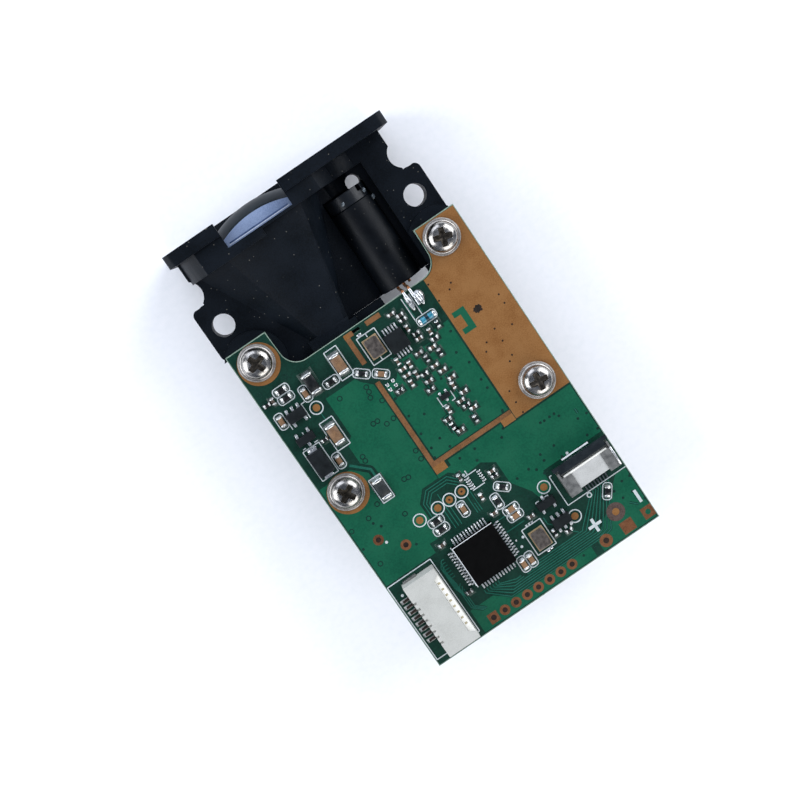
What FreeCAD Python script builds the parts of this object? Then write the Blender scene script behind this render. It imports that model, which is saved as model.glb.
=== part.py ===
import FreeCAD, Part
import math
import os

from FreeCAD import Vector

# A laser distance-measuring module: a moulded optical bench that carries a receiving lens and a
# laser collimator, with a populated circuit board screwed on top of it.
# Millimetres. X runs across the module, +Y points out of the lenses, +Z is up through the board.
# The origin is under the middle of the module, on the surface that it rests on.

# ---- Overall sizes ----
BOARD_LENGTH = 55.3
FRONT_REACH = 16.7            # from the board's front edge to the flange's front face
BOARD_WIDTH = 39.4
MODULE_HEIGHT = 18.0
SIDE_SHIFT = 0.6              # the board overhangs the bench by this on the right

# ---- Bench ----
FLANGE_THICK = 2.0
FLANGE_INSET = 1.3            # of the flange's sides, inside the bench's
FLANGE_CORNER = 1.2
PLATE_THICK = 2.0
PLATE_GAP = 1.4               # from the plate's top to the board's underside
BENCH_OVER_BOARD = 0.0        # bench width, over the board's
EAR_LENGTH = 8.0              # of the full-width plate, ahead of the board
EAR_CORNER = 1.0
EAR_TUCK = 0.6                # of the ears, back under the board
NECK_INSET = 2.35             # of the neck's sides, inside the ears'
NECK_NOTCH_RADIUS = 2.2
NECK_NOTCH_AHEAD = 2.1        # notch centre, ahead of the ear's front edge
NECK_NOTCH_OUT = 1.25         # notch centre, outside the neck's side
EAR_HOLE_RADIUS = 1.7
EAR_HOLE_INSET = 2.95         # hole centre, inside the ear's side
EAR_HOLE_AHEAD = 4.0          # ahead of the board's front edge
EAR_BOSS_RADIUS = 2.9
EAR_BOSS_DEPTH = 4.7          # plate and boss together
SPARE_HOLE_RADIUS = 1.1
TAIL_INSET = 1.2              # of the plate's sides under the board
TAIL_CORNER = 3.0

# ---- Screws ----
BOSS_RADIUS = 4.6
PILLAR_RADIUS = 3.0
FRONT_PILLAR_DEPTH = 4.6      # below the plate
FRONT_SCREW_SETBACK = 3.0     # behind the board's front edge
REAR_LEFT_SCREW_SETBACK = 25.8
REAR_RIGHT_SCREW_SETBACK = 28.0
SCREW_INSET = 3.35            # from the board's side edges
SCREW_RADIUS = 1.15
SCREW_LENGTH = 7.0            # below the board's top face
SCREW_HEAD_RADIUS = 2.3
SCREW_HEAD_HEIGHT = 1.7
SCREW_HOLE_CLEARANCE = 0.3
PILOT_CLEARANCE = 0.05
WASHER_RADIUS = 2.8
WASHER_THICK = 0.5
RECESS_LENGTH = 2.8
RECESS_WIDTH = 0.65
RECESS_DEPTH = 1.0
HEAD_DOME_FLATNESS = 1.25     # dome's radius, over that of a dome reaching the head's rim

# ---- Receiver optics ----
RECEIVER_X = -4.5
LENS_RADIUS = 10.0
LENS_HALF_HEIGHT = 7.0
LENS_CURVE_RADIUS = 16.0
LENS_EDGE = 0.4
LENS_CLEARANCE = 0.1
LENS_APEX_SETBACK = 0.09      # behind the flange's front face
BARREL_WALL = 3.0             # around the lens
BARREL_MARGIN = 0.6           # barrel's flats, inside the module's height
LEFT_BARREL_LENGTH = 3.5
RIGHT_BARREL_LENGTH = 2.4
NOTCH_WIDTH = 10.8
NOTCH_BELOW_LENS_TOP = 1.0
HORN_WALL = 0.8
HORN_OVER_LENS_WIDTH = 1.9    # horn's front half-width, over the lens radius
HORN_OVER_LENS_HEIGHT = 0.4   # horn's front half-height, over the lens's half-height
HORN_FRONT_FLAT = 6.5
HORN_REAR_HALF_WIDTH = 3.9
HORN_REAR_HALF_HEIGHT = 3.6
HORN_REAR_FLAT = 2.3
HORN_SETBACK = 5.5            # front section of the horn, behind the flange's front face
HORN_REAR_AHEAD = 1.7         # horn's rear section, ahead of the board's cut-out
HORN_SHOULDER_SHARE = 0.2     # least half-height of the horn's upright sides, as a share of its own
LIGHT_MARGIN = 1.0            # of the light's path, inside the lens
LIGHT_REAR_RADIUS = 2.1
TAIL_TUBE_LENGTH = 7.0
DETECTOR_RADIUS = 2.7
DETECTOR_BASE_THICK = 1.0
DETECTOR_CAP_RADIUS = 2.1
DETECTOR_CAP_LENGTH = 2.2
DETECTOR_WINDOW_RADIUS = 1.3
DETECTOR_WINDOW_THICK = 0.3
DETECTOR_LEAD_GAP = 1.6       # opening in the plate behind the detector
DETECTOR_LEAD_SETBACK = 0.9   # rising leads, behind the detector
DETECTOR_LEAD_BEND = 0.45
DETECTOR_FIT = 0.05           # socket's radius, over the detector's
FILTER_RADIUS = 2.6
FILTER_THICK = 0.8
LEAD_RADIUS = 0.225

# ---- Laser ----
LASER_WEB = 0.9               # how far the laser barrel tucks in behind the lens's edge
LASER_BARREL_RADIUS = 3.4
LASER_BARREL_LENGTH = 13.4
LASER_BARREL_AHEAD = 1.1      # barrel's rear end, ahead of the board's cut-out
LASER_BORE_RADIUS = 2.3
LASER_CRADLE_CLEARANCE = 0.05
CRADLE_END_GAP = 0.3
CELL_STEP = 0.2               # cell's radius, under the barrel's
CELL_LENGTH = 2.1
CELL_SLOT_WIDTH = 0.9
CELL_WALL = 0.8
COLLIMATOR_THICK = 1.5
COLLIMATOR_CURVE_RADIUS = 4.0
RING_THICK = 0.5
RING_WALL = 0.6
DIODE_SEAT_WALL = 0.6         # of the laser barrel around the diode's base
DIODE_BASE_THICK = 1.2
DIODE_CAP_RADIUS = 1.775
DIODE_CAP_LENGTH = 2.3
DIODE_WINDOW_RADIUS = 0.7
DIODE_WINDOW_THICK = 0.25
DIODE_PIN_CIRCLE = 1.0
DIODE_SPARE_PIN_LENGTH = 0.6
BEAM_HOLE_RADIUS = 1.85
NOSE_OVER_BARREL = 0.8        # nose radius, over the laser barrel's
POCKET_GAP = 1.1              # from the laser barrel to the pocket's right wall
POCKET_WALL = 1.2
POCKET_FRONT_SETBACK = 4.4    # pocket's front wall, behind the flange's front face
POCKET_LEAN = 0.21            # sideways lean of the pocket's left wall, over its length
LEAD_SLOT_OVER_BARREL = 0.6   # half-width of the slot behind the barrel, over its radius
LEAD_RISE_AHEAD = 0.45        # rising leads, ahead of the board's cut-out
LEAD_BEND = 0.315
LEAD_FOOT_LENGTH = 2.6        # of each lead lying on the board
SOLDER_LENGTH = 3.2
SOLDER_RADIUS = 0.42
SOLDER_LIFT = 0.12

# ---- Board ----
BOARD_THICK = 1.2
BOARD_TOP_BELOW = 4.0         # board's top face, below the flange's top
CUTOUT_DEPTH = 6.6
CUTOUT_LEFT = 6.8             # from the board's left edge
CUTOUT_RIGHT = 6.8            # from the board's right edge
CUTOUT_CORNER = 2.8
SLOT_LENGTH = 2.3
SLOT_WIDTH = 0.5
SLOT_SETBACK = 0.3            # milled slot's front side, behind the cut-out
SLOT_FROM_RECEIVER = 2.3      # slot's middle, right of the receiver's axis
HEADER_PITCH = 2.0
HEADER_COUNT = 8
HEADER_FIRST = 10.7
HEADER_SETBACK = 1.45
HEADER_HOLE_RADIUS = 0.4
SUPPLY_HOLE_RADIUS = 0.45
SUPPLY_SETBACK = 1.5
TEST_HOLE_RADIUS = 0.4
PAD_LIFT = 0.05               # parts stand on their pads' thickness
LAYOUT_LENGTH = 55.3          # board length that the parts' places are drawn for
LAYOUT_LASER_SPACING = 12.5   # laser spacing that they are drawn for
FRONT_ZONE_FROM = 23.5        # parts beyond this keep their distance from the front edge
DRIVER_ZONE_FROM = 14.5       # of those, the ones beyond this keep their distance from the laser

# ---- Working values that follow from the sizes above ----
MODULE_LENGTH = BOARD_LENGTH + FRONT_REACH
MODULE_WIDTH = BOARD_WIDTH + SIDE_SHIFT
FRONT_Y = MODULE_LENGTH / 2
REAR_Y = -MODULE_LENGTH / 2
BOARD_LEFT = -MODULE_WIDTH / 2 + SIDE_SHIFT
BOARD_RIGHT = MODULE_WIDTH / 2
BOARD_FRONT = REAR_Y + BOARD_LENGTH
BOARD_TOP = MODULE_HEIGHT - BOARD_TOP_BELOW
BOARD_UNDER = BOARD_TOP - BOARD_THICK
CUTOUT_Y = BOARD_FRONT - CUTOUT_DEPTH
BENCH_WIDTH = BOARD_WIDTH + BENCH_OVER_BOARD
BENCH_X = BENCH_WIDTH / 2 - MODULE_WIDTH / 2
FLANGE_WIDTH = BENCH_WIDTH - 2 * FLANGE_INSET
NECK_WIDTH = BENCH_WIDTH - 2 * NECK_INSET
EAR_HOLE_SPACING = BENCH_WIDTH - 2 * EAR_HOLE_INSET
AXIS_HEIGHT = MODULE_HEIGHT / 2
LENS_SAG = LENS_CURVE_RADIUS - math.sqrt(LENS_CURVE_RADIUS ** 2 - LENS_RADIUS ** 2)
BARREL_RADIUS = LENS_RADIUS + BARREL_WALL
NOTCH_DEPTH = MODULE_HEIGHT - AXIS_HEIGHT - LENS_HALF_HEIGHT + NOTCH_BELOW_LENS_TOP
HORN_FRONT_HALF_WIDTH = LENS_RADIUS + HORN_OVER_LENS_WIDTH
HORN_FRONT_HALF_HEIGHT = LENS_HALF_HEIGHT + HORN_OVER_LENS_HEIGHT
LIGHT_FRONT_RADIUS = LENS_RADIUS - LIGHT_MARGIN
LASER_SPACING = LENS_RADIUS - LASER_WEB + LASER_BARREL_RADIUS
CELL_RADIUS = LASER_BARREL_RADIUS - CELL_STEP
COLLIMATOR_RADIUS = CELL_RADIUS - CELL_WALL
DIODE_BASE_RADIUS = LASER_BARREL_RADIUS - DIODE_SEAT_WALL
NOSE_RADIUS = LASER_BARREL_RADIUS + NOSE_OVER_BARREL
POCKET_RIGHT = LASER_BARREL_RADIUS + POCKET_GAP
LEAD_SLOT_HALF_WIDTH = LASER_BARREL_RADIUS + LEAD_SLOT_OVER_BARREL
PLATE_TOP = BOARD_UNDER - PLATE_GAP
PLATE_UNDER = PLATE_TOP - PLATE_THICK
EAR_FRONT = BOARD_FRONT + EAR_LENGTH
LASER_X = RECEIVER_X + LASER_SPACING
LENS_BACK = FRONT_Y - LENS_APEX_SETBACK - LENS_SAG - LENS_EDGE
FLANGE_BACK = FRONT_Y - FLANGE_THICK
HORN_FRONT = FRONT_Y - HORN_SETBACK
HORN_REAR = CUTOUT_Y + HORN_REAR_AHEAD
TAIL_REAR = HORN_REAR - TAIL_TUBE_LENGTH
LASER_REAR = CUTOUT_Y + LASER_BARREL_AHEAD
LASER_FRONT = LASER_REAR + LASER_BARREL_LENGTH
POCKET_FRONT = FRONT_Y - POCKET_FRONT_SETBACK
PART_BASE = BOARD_TOP + PAD_LIFT
EPSILON = 0.5                 # how far a cut runs past the face that it opens

SCREW_PLACES = [
    (BOARD_LEFT + SCREW_INSET, BOARD_FRONT - FRONT_SCREW_SETBACK, FRONT_PILLAR_DEPTH),
    (BOARD_RIGHT - SCREW_INSET - SIDE_SHIFT, BOARD_FRONT - FRONT_SCREW_SETBACK, FRONT_PILLAR_DEPTH),
    (BOARD_LEFT + SCREW_INSET, BOARD_FRONT - REAR_LEFT_SCREW_SETBACK, PLATE_UNDER),
    (BOARD_RIGHT - SCREW_INSET - SIDE_SHIFT, BOARD_FRONT - REAR_RIGHT_SCREW_SETBACK, PLATE_UNDER),
]


# ---- Small helpers ----
def box(x0, x1, y0, y1, z0, z1):
    """A block between two corners."""
    return Part.makeBox(x1 - x0, y1 - y0, z1 - z0, Vector(x0, y0, z0))


def upright(x, y, z, radius, height):
    """A cylinder standing on its centre point."""
    return Part.makeCylinder(radius, height, Vector(x, y, z), Vector(0, 0, 1))


def along_y(x, z, y0, y1, radius):
    """A cylinder from y0 to y1."""
    return Part.makeCylinder(radius, y1 - y0, Vector(x, y0, z), Vector(0, 1, 0))


def cone_y(x, z, y0, y1, radius0, radius1):
    """A cone from radius0 at y0 to radius1 at y1."""
    return Part.makeCone(radius0, radius1, y1 - y0, Vector(x, y0, z), Vector(0, 1, 0))


def rounded_wire(corners, lift):
    """A closed outline at height lift; each corner is (x, y, radius)."""
    enters, middles, leaves = [], [], []
    for i, (x, y, radius) in enumerate(corners):
        here = Vector(x, y, lift)
        before = Vector(corners[i - 1][0], corners[i - 1][1], lift)
        after = Vector(corners[(i + 1) % len(corners)][0], corners[(i + 1) % len(corners)][1], lift)
        back = (before - here).normalize()
        ahead = (after - here).normalize()
        half_angle = back.getAngle(ahead) / 2
        reach = radius / math.tan(half_angle)
        inward = (back + ahead).normalize()
        enters.append(here + back * reach)
        leaves.append(here + ahead * reach)
        middles.append(here + inward * (radius / math.sin(half_angle) - radius))
    edges = []
    for i, corner in enumerate(corners):
        edges.append(Part.LineSegment(leaves[i - 1], enters[i]).toShape())
        if corner[2] > 0:
            edges.append(Part.Arc(enters[i], middles[i], leaves[i]).toShape())
    return Part.Wire(edges)


def slab(corners, z0, z1):
    """A flat plate with the outline of corners, from z0 to z1."""
    return Part.Face(rounded_wire(corners, z0)).extrude(Vector(0, 0, z1 - z0))


def rounded_block(x0, x1, y0, y1, z0, z1, radius):
    """A block with its four upright edges rounded."""
    corners = [(x0, y0, radius), (x1, y0, radius), (x1, y1, radius), (x0, y1, radius)]
    return slab(corners, z0, z1)


def polygon(points):
    """A flat face through the points, which lie in one plane."""
    return Part.Face(Part.makePolygon(points + [points[0]]))


def fused(shapes):
    """One solid out of several that meet."""
    whole = shapes[0].fuse(shapes[1:])
    return whole.removeSplitter()


def swept_wire(points, radius, bend):
    """A round wire through the points, with each corner bent to the radius bend."""
    edges = []
    start = points[0]
    for i in range(1, len(points) - 1):
        back = (points[i - 1] - points[i]).normalize()
        ahead = (points[i + 1] - points[i]).normalize()
        half_angle = back.getAngle(ahead) / 2
        reach = bend / math.tan(half_angle)
        inward = (back + ahead).normalize()
        middle = points[i] + inward * (bend / math.sin(half_angle) - bend)
        edges.append(Part.LineSegment(start, points[i] + back * reach).toShape())
        edges.append(Part.Arc(points[i] + back * reach, middle, points[i] + ahead * reach).toShape())
        start = points[i] + ahead * reach
    edges.append(Part.LineSegment(start, points[-1]).toShape())
    path = Part.Wire(edges)
    section = Part.Wire(Part.makeCircle(radius, points[0], points[1] - points[0]))
    return path.makePipeShell([section], True, False)


def on_board(shape, u, v, turn=0.0):
    """Set a part down on the board, u from its left edge and v from its rear edge."""
    x = BOARD_LEFT + u
    y = REAR_Y + v
    if v > FRONT_ZONE_FROM:
        y += BOARD_LENGTH - LAYOUT_LENGTH
        if u > DRIVER_ZONE_FROM:
            x += LASER_SPACING - LAYOUT_LASER_SPACING
    placed = shape.copy()
    placed.rotate(Vector(0, 0, 0), Vector(0, 0, 1), turn)
    placed.translate(Vector(x, y, PART_BASE))
    return placed


def group(shapes):
    """Separate solids that share one node."""
    return Part.makeCompound(shapes)


def save(name, shape):
    """Write one node."""
    shape.exportStep("parts/" + name + ".step")


# ---- Optical bench ----
def bench_plate():
    """The flat plate: wide ears ahead of the board, a neck to the flange, a tail under the board."""
    half = BENCH_WIDTH / 2
    neck = NECK_WIDTH / 2
    ears = rounded_block(BENCH_X - half, BENCH_X + half, BOARD_FRONT - EAR_TUCK, EAR_FRONT,
                         PLATE_UNDER, PLATE_TOP, EAR_CORNER)
    front = box(BENCH_X - neck, BENCH_X + neck, BOARD_FRONT, FLANGE_BACK, PLATE_UNDER, PLATE_TOP)
    rear = min(place[1] for place in SCREW_PLACES) - BOSS_RADIUS
    tail = rounded_block(BENCH_X - half + TAIL_INSET, BENCH_X + half - TAIL_INSET, rear,
                         BOARD_FRONT + TAIL_CORNER, PLATE_UNDER, PLATE_TOP, TAIL_CORNER)
    plate = fused([ears, front, tail])
    for side in (-1, 1):
        notch = upright(BENCH_X + side * (neck + NECK_NOTCH_OUT), EAR_FRONT + NECK_NOTCH_AHEAD,
                        PLATE_UNDER - EPSILON, NECK_NOTCH_RADIUS, PLATE_THICK + 2 * EPSILON)
        plate = plate.cut(notch)
    return plate


def bench_bosses():
    """Screw bosses up to the board, and the pillars that hold the screws' threads."""
    half = BENCH_WIDTH / 2
    ahead = box(BENCH_X - half, BENCH_X + half, BOARD_FRONT - EAR_TUCK, FRONT_Y, 0, MODULE_HEIGHT)
    under = box(BENCH_X - half + TAIL_INSET, BENCH_X + half - TAIL_INSET, REAR_Y, BOARD_FRONT,
                0, MODULE_HEIGHT)
    reach = fused([ahead, under])
    bosses = []
    for x, y, depth in SCREW_PLACES:
        bosses.append(upright(x, y, PLATE_UNDER, BOSS_RADIUS, BOARD_UNDER - PLATE_UNDER).common(reach))
        bosses.append(upright(x, y, PLATE_UNDER - depth, PILLAR_RADIUS, depth + PLATE_THICK))
    ear_y = BOARD_FRONT + EAR_HOLE_AHEAD
    for side in (-1, 1):
        x = BENCH_X + side * EAR_HOLE_SPACING / 2
        bosses.append(upright(x, ear_y, PLATE_TOP - EAR_BOSS_DEPTH, EAR_BOSS_RADIUS, EAR_BOSS_DEPTH))
    return bosses


def bench_flange():
    """The front flange, with the lens barrel and the laser's nose behind it."""
    half = FLANGE_WIDTH / 2
    corners = [(-half, 0, FLANGE_CORNER), (half, 0, FLANGE_CORNER),
               (half, MODULE_HEIGHT, FLANGE_CORNER), (-half, MODULE_HEIGHT, FLANGE_CORNER)]
    flange = slab(corners, 0, FLANGE_THICK)
    flange.rotate(Vector(0, 0, 0), Vector(1, 0, 0), 90)
    flange.translate(Vector(0, FRONT_Y, 0))
    height = box(-MODULE_WIDTH, MODULE_WIDTH, REAR_Y, FRONT_Y, BARREL_MARGIN, MODULE_HEIGHT - BARREL_MARGIN)
    left = along_y(RECEIVER_X, AXIS_HEIGHT, FLANGE_BACK - LEFT_BARREL_LENGTH, FLANGE_BACK, BARREL_RADIUS)
    left = left.common(box(-MODULE_WIDTH, RECEIVER_X, REAR_Y, FRONT_Y, 0, MODULE_HEIGHT))
    right = along_y(RECEIVER_X, AXIS_HEIGHT, FLANGE_BACK - RIGHT_BARREL_LENGTH, FLANGE_BACK, BARREL_RADIUS)
    nose = along_y(LASER_X, AXIS_HEIGHT, FLANGE_BACK - RIGHT_BARREL_LENGTH, FLANGE_BACK, NOSE_RADIUS)
    return [flange, left.common(height), right.common(height), nose]


def horn_section(y, half_width, half_height, flat):
    """One eight-sided section of the receiver's horn."""
    drop = half_width - flat
    shoulder = max(half_height - drop, half_height * HORN_SHOULDER_SHARE)
    points = []
    for sx, sz, first in ((1, 1, True), (-1, 1, False), (-1, -1, True), (1, -1, False)):
        side = Vector(RECEIVER_X + sx * half_width, y, AXIS_HEIGHT + sz * shoulder)
        top = Vector(RECEIVER_X + sx * flat, y, AXIS_HEIGHT + sz * half_height)
        points.extend([side, top] if first else [top, side])
    return Part.makePolygon(points + [points[0]])


def horn_loft(shrink):
    """The horn's tapered body, with every face moved in by shrink."""
    front = horn_section(HORN_FRONT, HORN_FRONT_HALF_WIDTH - shrink, HORN_FRONT_HALF_HEIGHT - shrink,
                         HORN_FRONT_FLAT - shrink / 2)
    rear = horn_section(HORN_REAR, HORN_REAR_HALF_WIDTH - shrink, HORN_REAR_HALF_HEIGHT - shrink,
                        HORN_REAR_FLAT - shrink / 2)
    return Part.makeLoft([rear, front], True)


def horn_collar(shrink):
    """The straight stretch of horn between its taper and the lens."""
    section = horn_section(HORN_FRONT, HORN_FRONT_HALF_WIDTH - shrink, HORN_FRONT_HALF_HEIGHT - shrink,
                           HORN_FRONT_FLAT - shrink / 2)
    return Part.Face(section).extrude(Vector(0, LENS_BACK - HORN_FRONT, 0))


def light_cone(grow):
    """The cone that light takes from the lens to the detector, widened by grow."""
    return cone_y(RECEIVER_X, AXIS_HEIGHT, HORN_REAR, LENS_BACK, LIGHT_REAR_RADIUS + grow,
                  LIGHT_FRONT_RADIUS + grow)


def laser_pocket():
    """The open space that holds the laser barrel, beside the horn."""
    lean = (HORN_REAR - POCKET_FRONT) * POCKET_LEAN
    left = RECEIVER_X + HORN_FRONT_FLAT
    right = LASER_X + POCKET_RIGHT
    z = AXIS_HEIGHT
    corners = [Vector(left + lean, LASER_REAR, z), Vector(right, LASER_REAR, z),
               Vector(right, POCKET_FRONT, z), Vector(left, POCKET_FRONT, z)]
    space = polygon(corners).extrude(Vector(0, 0, MODULE_HEIGHT - z + EPSILON))
    space = space.cut(light_cone(HORN_WALL).common(fused([horn_loft(0), horn_collar(0)])))
    cradle = along_y(LASER_X, AXIS_HEIGHT, LASER_REAR, LASER_FRONT + CELL_LENGTH + CRADLE_END_GAP,
                     LASER_BARREL_RADIUS + LASER_CRADLE_CLEARANCE)
    lead_slot = box(LASER_X - LEAD_SLOT_HALF_WIDTH, LASER_X + LEAD_SLOT_HALF_WIDTH,
                    CUTOUT_Y - EPSILON, LASER_REAR, 0, MODULE_HEIGHT)
    return [space, cradle, lead_slot]


def receiver_hollow():
    """The dark space inside the horn, the lens seat, and the detector's socket."""
    cavity = light_cone(0).common(horn_loft(HORN_WALL))
    throat_half = LENS_HALF_HEIGHT - HORN_WALL
    throat = light_cone(0).common(box(-MODULE_WIDTH, MODULE_WIDTH, HORN_FRONT, LENS_BACK,
                                      AXIS_HEIGHT - throat_half, AXIS_HEIGHT + throat_half))
    seat_radius = LENS_RADIUS + LENS_CLEARANCE
    seat_half = LENS_HALF_HEIGHT + LENS_CLEARANCE
    seat = along_y(RECEIVER_X, AXIS_HEIGHT, LENS_BACK, FRONT_Y + EPSILON, seat_radius)
    seat = seat.common(box(-MODULE_WIDTH, MODULE_WIDTH, LENS_BACK, FRONT_Y + EPSILON,
                           AXIS_HEIGHT - seat_half, AXIS_HEIGHT + seat_half))
    notch = box(RECEIVER_X - NOTCH_WIDTH / 2, RECEIVER_X + NOTCH_WIDTH / 2, LENS_BACK,
                FRONT_Y + EPSILON, MODULE_HEIGHT - NOTCH_DEPTH, MODULE_HEIGHT + EPSILON)
    passage = along_y(RECEIVER_X, AXIS_HEIGHT, TAIL_REAR - EPSILON, HORN_REAR + EPSILON, LIGHT_REAR_RADIUS)
    filter_front = TAIL_REAR + DETECTOR_BASE_THICK + DETECTOR_CAP_LENGTH + FILTER_THICK + LENS_CLEARANCE
    socket = along_y(RECEIVER_X, AXIS_HEIGHT, TAIL_REAR - EPSILON, filter_front,
                     DETECTOR_RADIUS + DETECTOR_FIT)
    lead_gap = box(RECEIVER_X - DETECTOR_CAP_RADIUS, RECEIVER_X + DETECTOR_CAP_RADIUS,
                   TAIL_REAR - DETECTOR_LEAD_GAP, TAIL_REAR, PLATE_UNDER - EPSILON, BOARD_UNDER)
    return [cavity, throat, seat, notch, passage, socket, lead_gap]


def optical_bench():
    """The moulded bench as one solid."""
    tail_tube = box(RECEIVER_X - HORN_REAR_HALF_WIDTH, RECEIVER_X + HORN_REAR_HALF_WIDTH, TAIL_REAR,
                    HORN_REAR, AXIS_HEIGHT - HORN_REAR_HALF_HEIGHT, AXIS_HEIGHT + HORN_REAR_HALF_HEIGHT)
    cradle_right = LASER_X + POCKET_RIGHT + POCKET_WALL
    cradle_block = box(RECEIVER_X, cradle_right, LASER_REAR, POCKET_FRONT,
                       AXIS_HEIGHT - LASER_BARREL_RADIUS - POCKET_WALL, PLATE_TOP)
    pieces = [bench_plate(), horn_loft(0), horn_collar(0), tail_tube, cradle_block]
    pieces.extend(bench_flange())
    pieces.extend(bench_bosses())
    bench = fused(pieces)
    cuts = laser_pocket() + receiver_hollow()
    cuts.append(along_y(LASER_X, AXIS_HEIGHT, LASER_FRONT, FRONT_Y + EPSILON, BEAM_HOLE_RADIUS))
    for x, y, depth in SCREW_PLACES:
        cuts.append(upright(x, y, BOARD_TOP - SCREW_LENGTH - EPSILON, SCREW_RADIUS + PILOT_CLEARANCE,
                            SCREW_LENGTH))
    ear_y = BOARD_FRONT + EAR_HOLE_AHEAD
    for side in (-1, 1):
        cuts.append(upright(BENCH_X + side * EAR_HOLE_SPACING / 2, ear_y, 0, EAR_HOLE_RADIUS,
                            MODULE_HEIGHT))
    spare_x = LASER_X + SPARE_HOLE_RADIUS * 2
    cuts.append(upright(spare_x, EAR_FRONT + NECK_NOTCH_AHEAD + EPSILON, 0, SPARE_HOLE_RADIUS,
                        MODULE_HEIGHT - NOTCH_DEPTH))
    return bench.cut(cuts).removeSplitter()


# ---- Receiver pieces ----
def receiving_lens():
    """A plano-convex lens, trimmed flat above and below."""
    centre_y = LENS_BACK + LENS_EDGE + LENS_SAG - LENS_CURVE_RADIUS
    ball = Part.makeSphere(LENS_CURVE_RADIUS, Vector(RECEIVER_X, centre_y, AXIS_HEIGHT))
    disc = along_y(RECEIVER_X, AXIS_HEIGHT, LENS_BACK, FRONT_Y, LENS_RADIUS)
    trim = box(-MODULE_WIDTH, MODULE_WIDTH, LENS_BACK, FRONT_Y, AXIS_HEIGHT - LENS_HALF_HEIGHT,
               AXIS_HEIGHT + LENS_HALF_HEIGHT)
    return disc.common(ball).common(trim)


def save_receiver():
    """The lens, the filter and the photodiode in its can."""
    base_front = TAIL_REAR + DETECTOR_BASE_THICK
    cap_front = base_front + DETECTOR_CAP_LENGTH
    save("receiving_lens", receiving_lens())
    save("bandpass_filter", along_y(RECEIVER_X, AXIS_HEIGHT, cap_front, cap_front + FILTER_THICK,
                                    FILTER_RADIUS))
    save("detector_base", along_y(RECEIVER_X, AXIS_HEIGHT, TAIL_REAR, base_front, DETECTOR_RADIUS))
    cap = along_y(RECEIVER_X, AXIS_HEIGHT, base_front, cap_front, DETECTOR_CAP_RADIUS)
    hollow = along_y(RECEIVER_X, AXIS_HEIGHT, base_front, cap_front, DETECTOR_WINDOW_RADIUS)
    save("detector_cap", cap.cut(hollow))
    save("detector_window", along_y(RECEIVER_X, AXIS_HEIGHT, cap_front - DETECTOR_WINDOW_THICK, cap_front,
                                    DETECTOR_WINDOW_RADIUS))
    leads = []
    for side in (-1, 0, 1):
        x = RECEIVER_X + side * DIODE_PIN_CIRCLE
        rear = TAIL_REAR - DETECTOR_LEAD_SETBACK
        points = [Vector(x, TAIL_REAR, AXIS_HEIGHT), Vector(x, rear, AXIS_HEIGHT),
                  Vector(x, rear, BOARD_UNDER)]
        leads.append(swept_wire(points, LEAD_RADIUS, DETECTOR_LEAD_BEND))
    save("detector_leads", group(leads))


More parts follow.
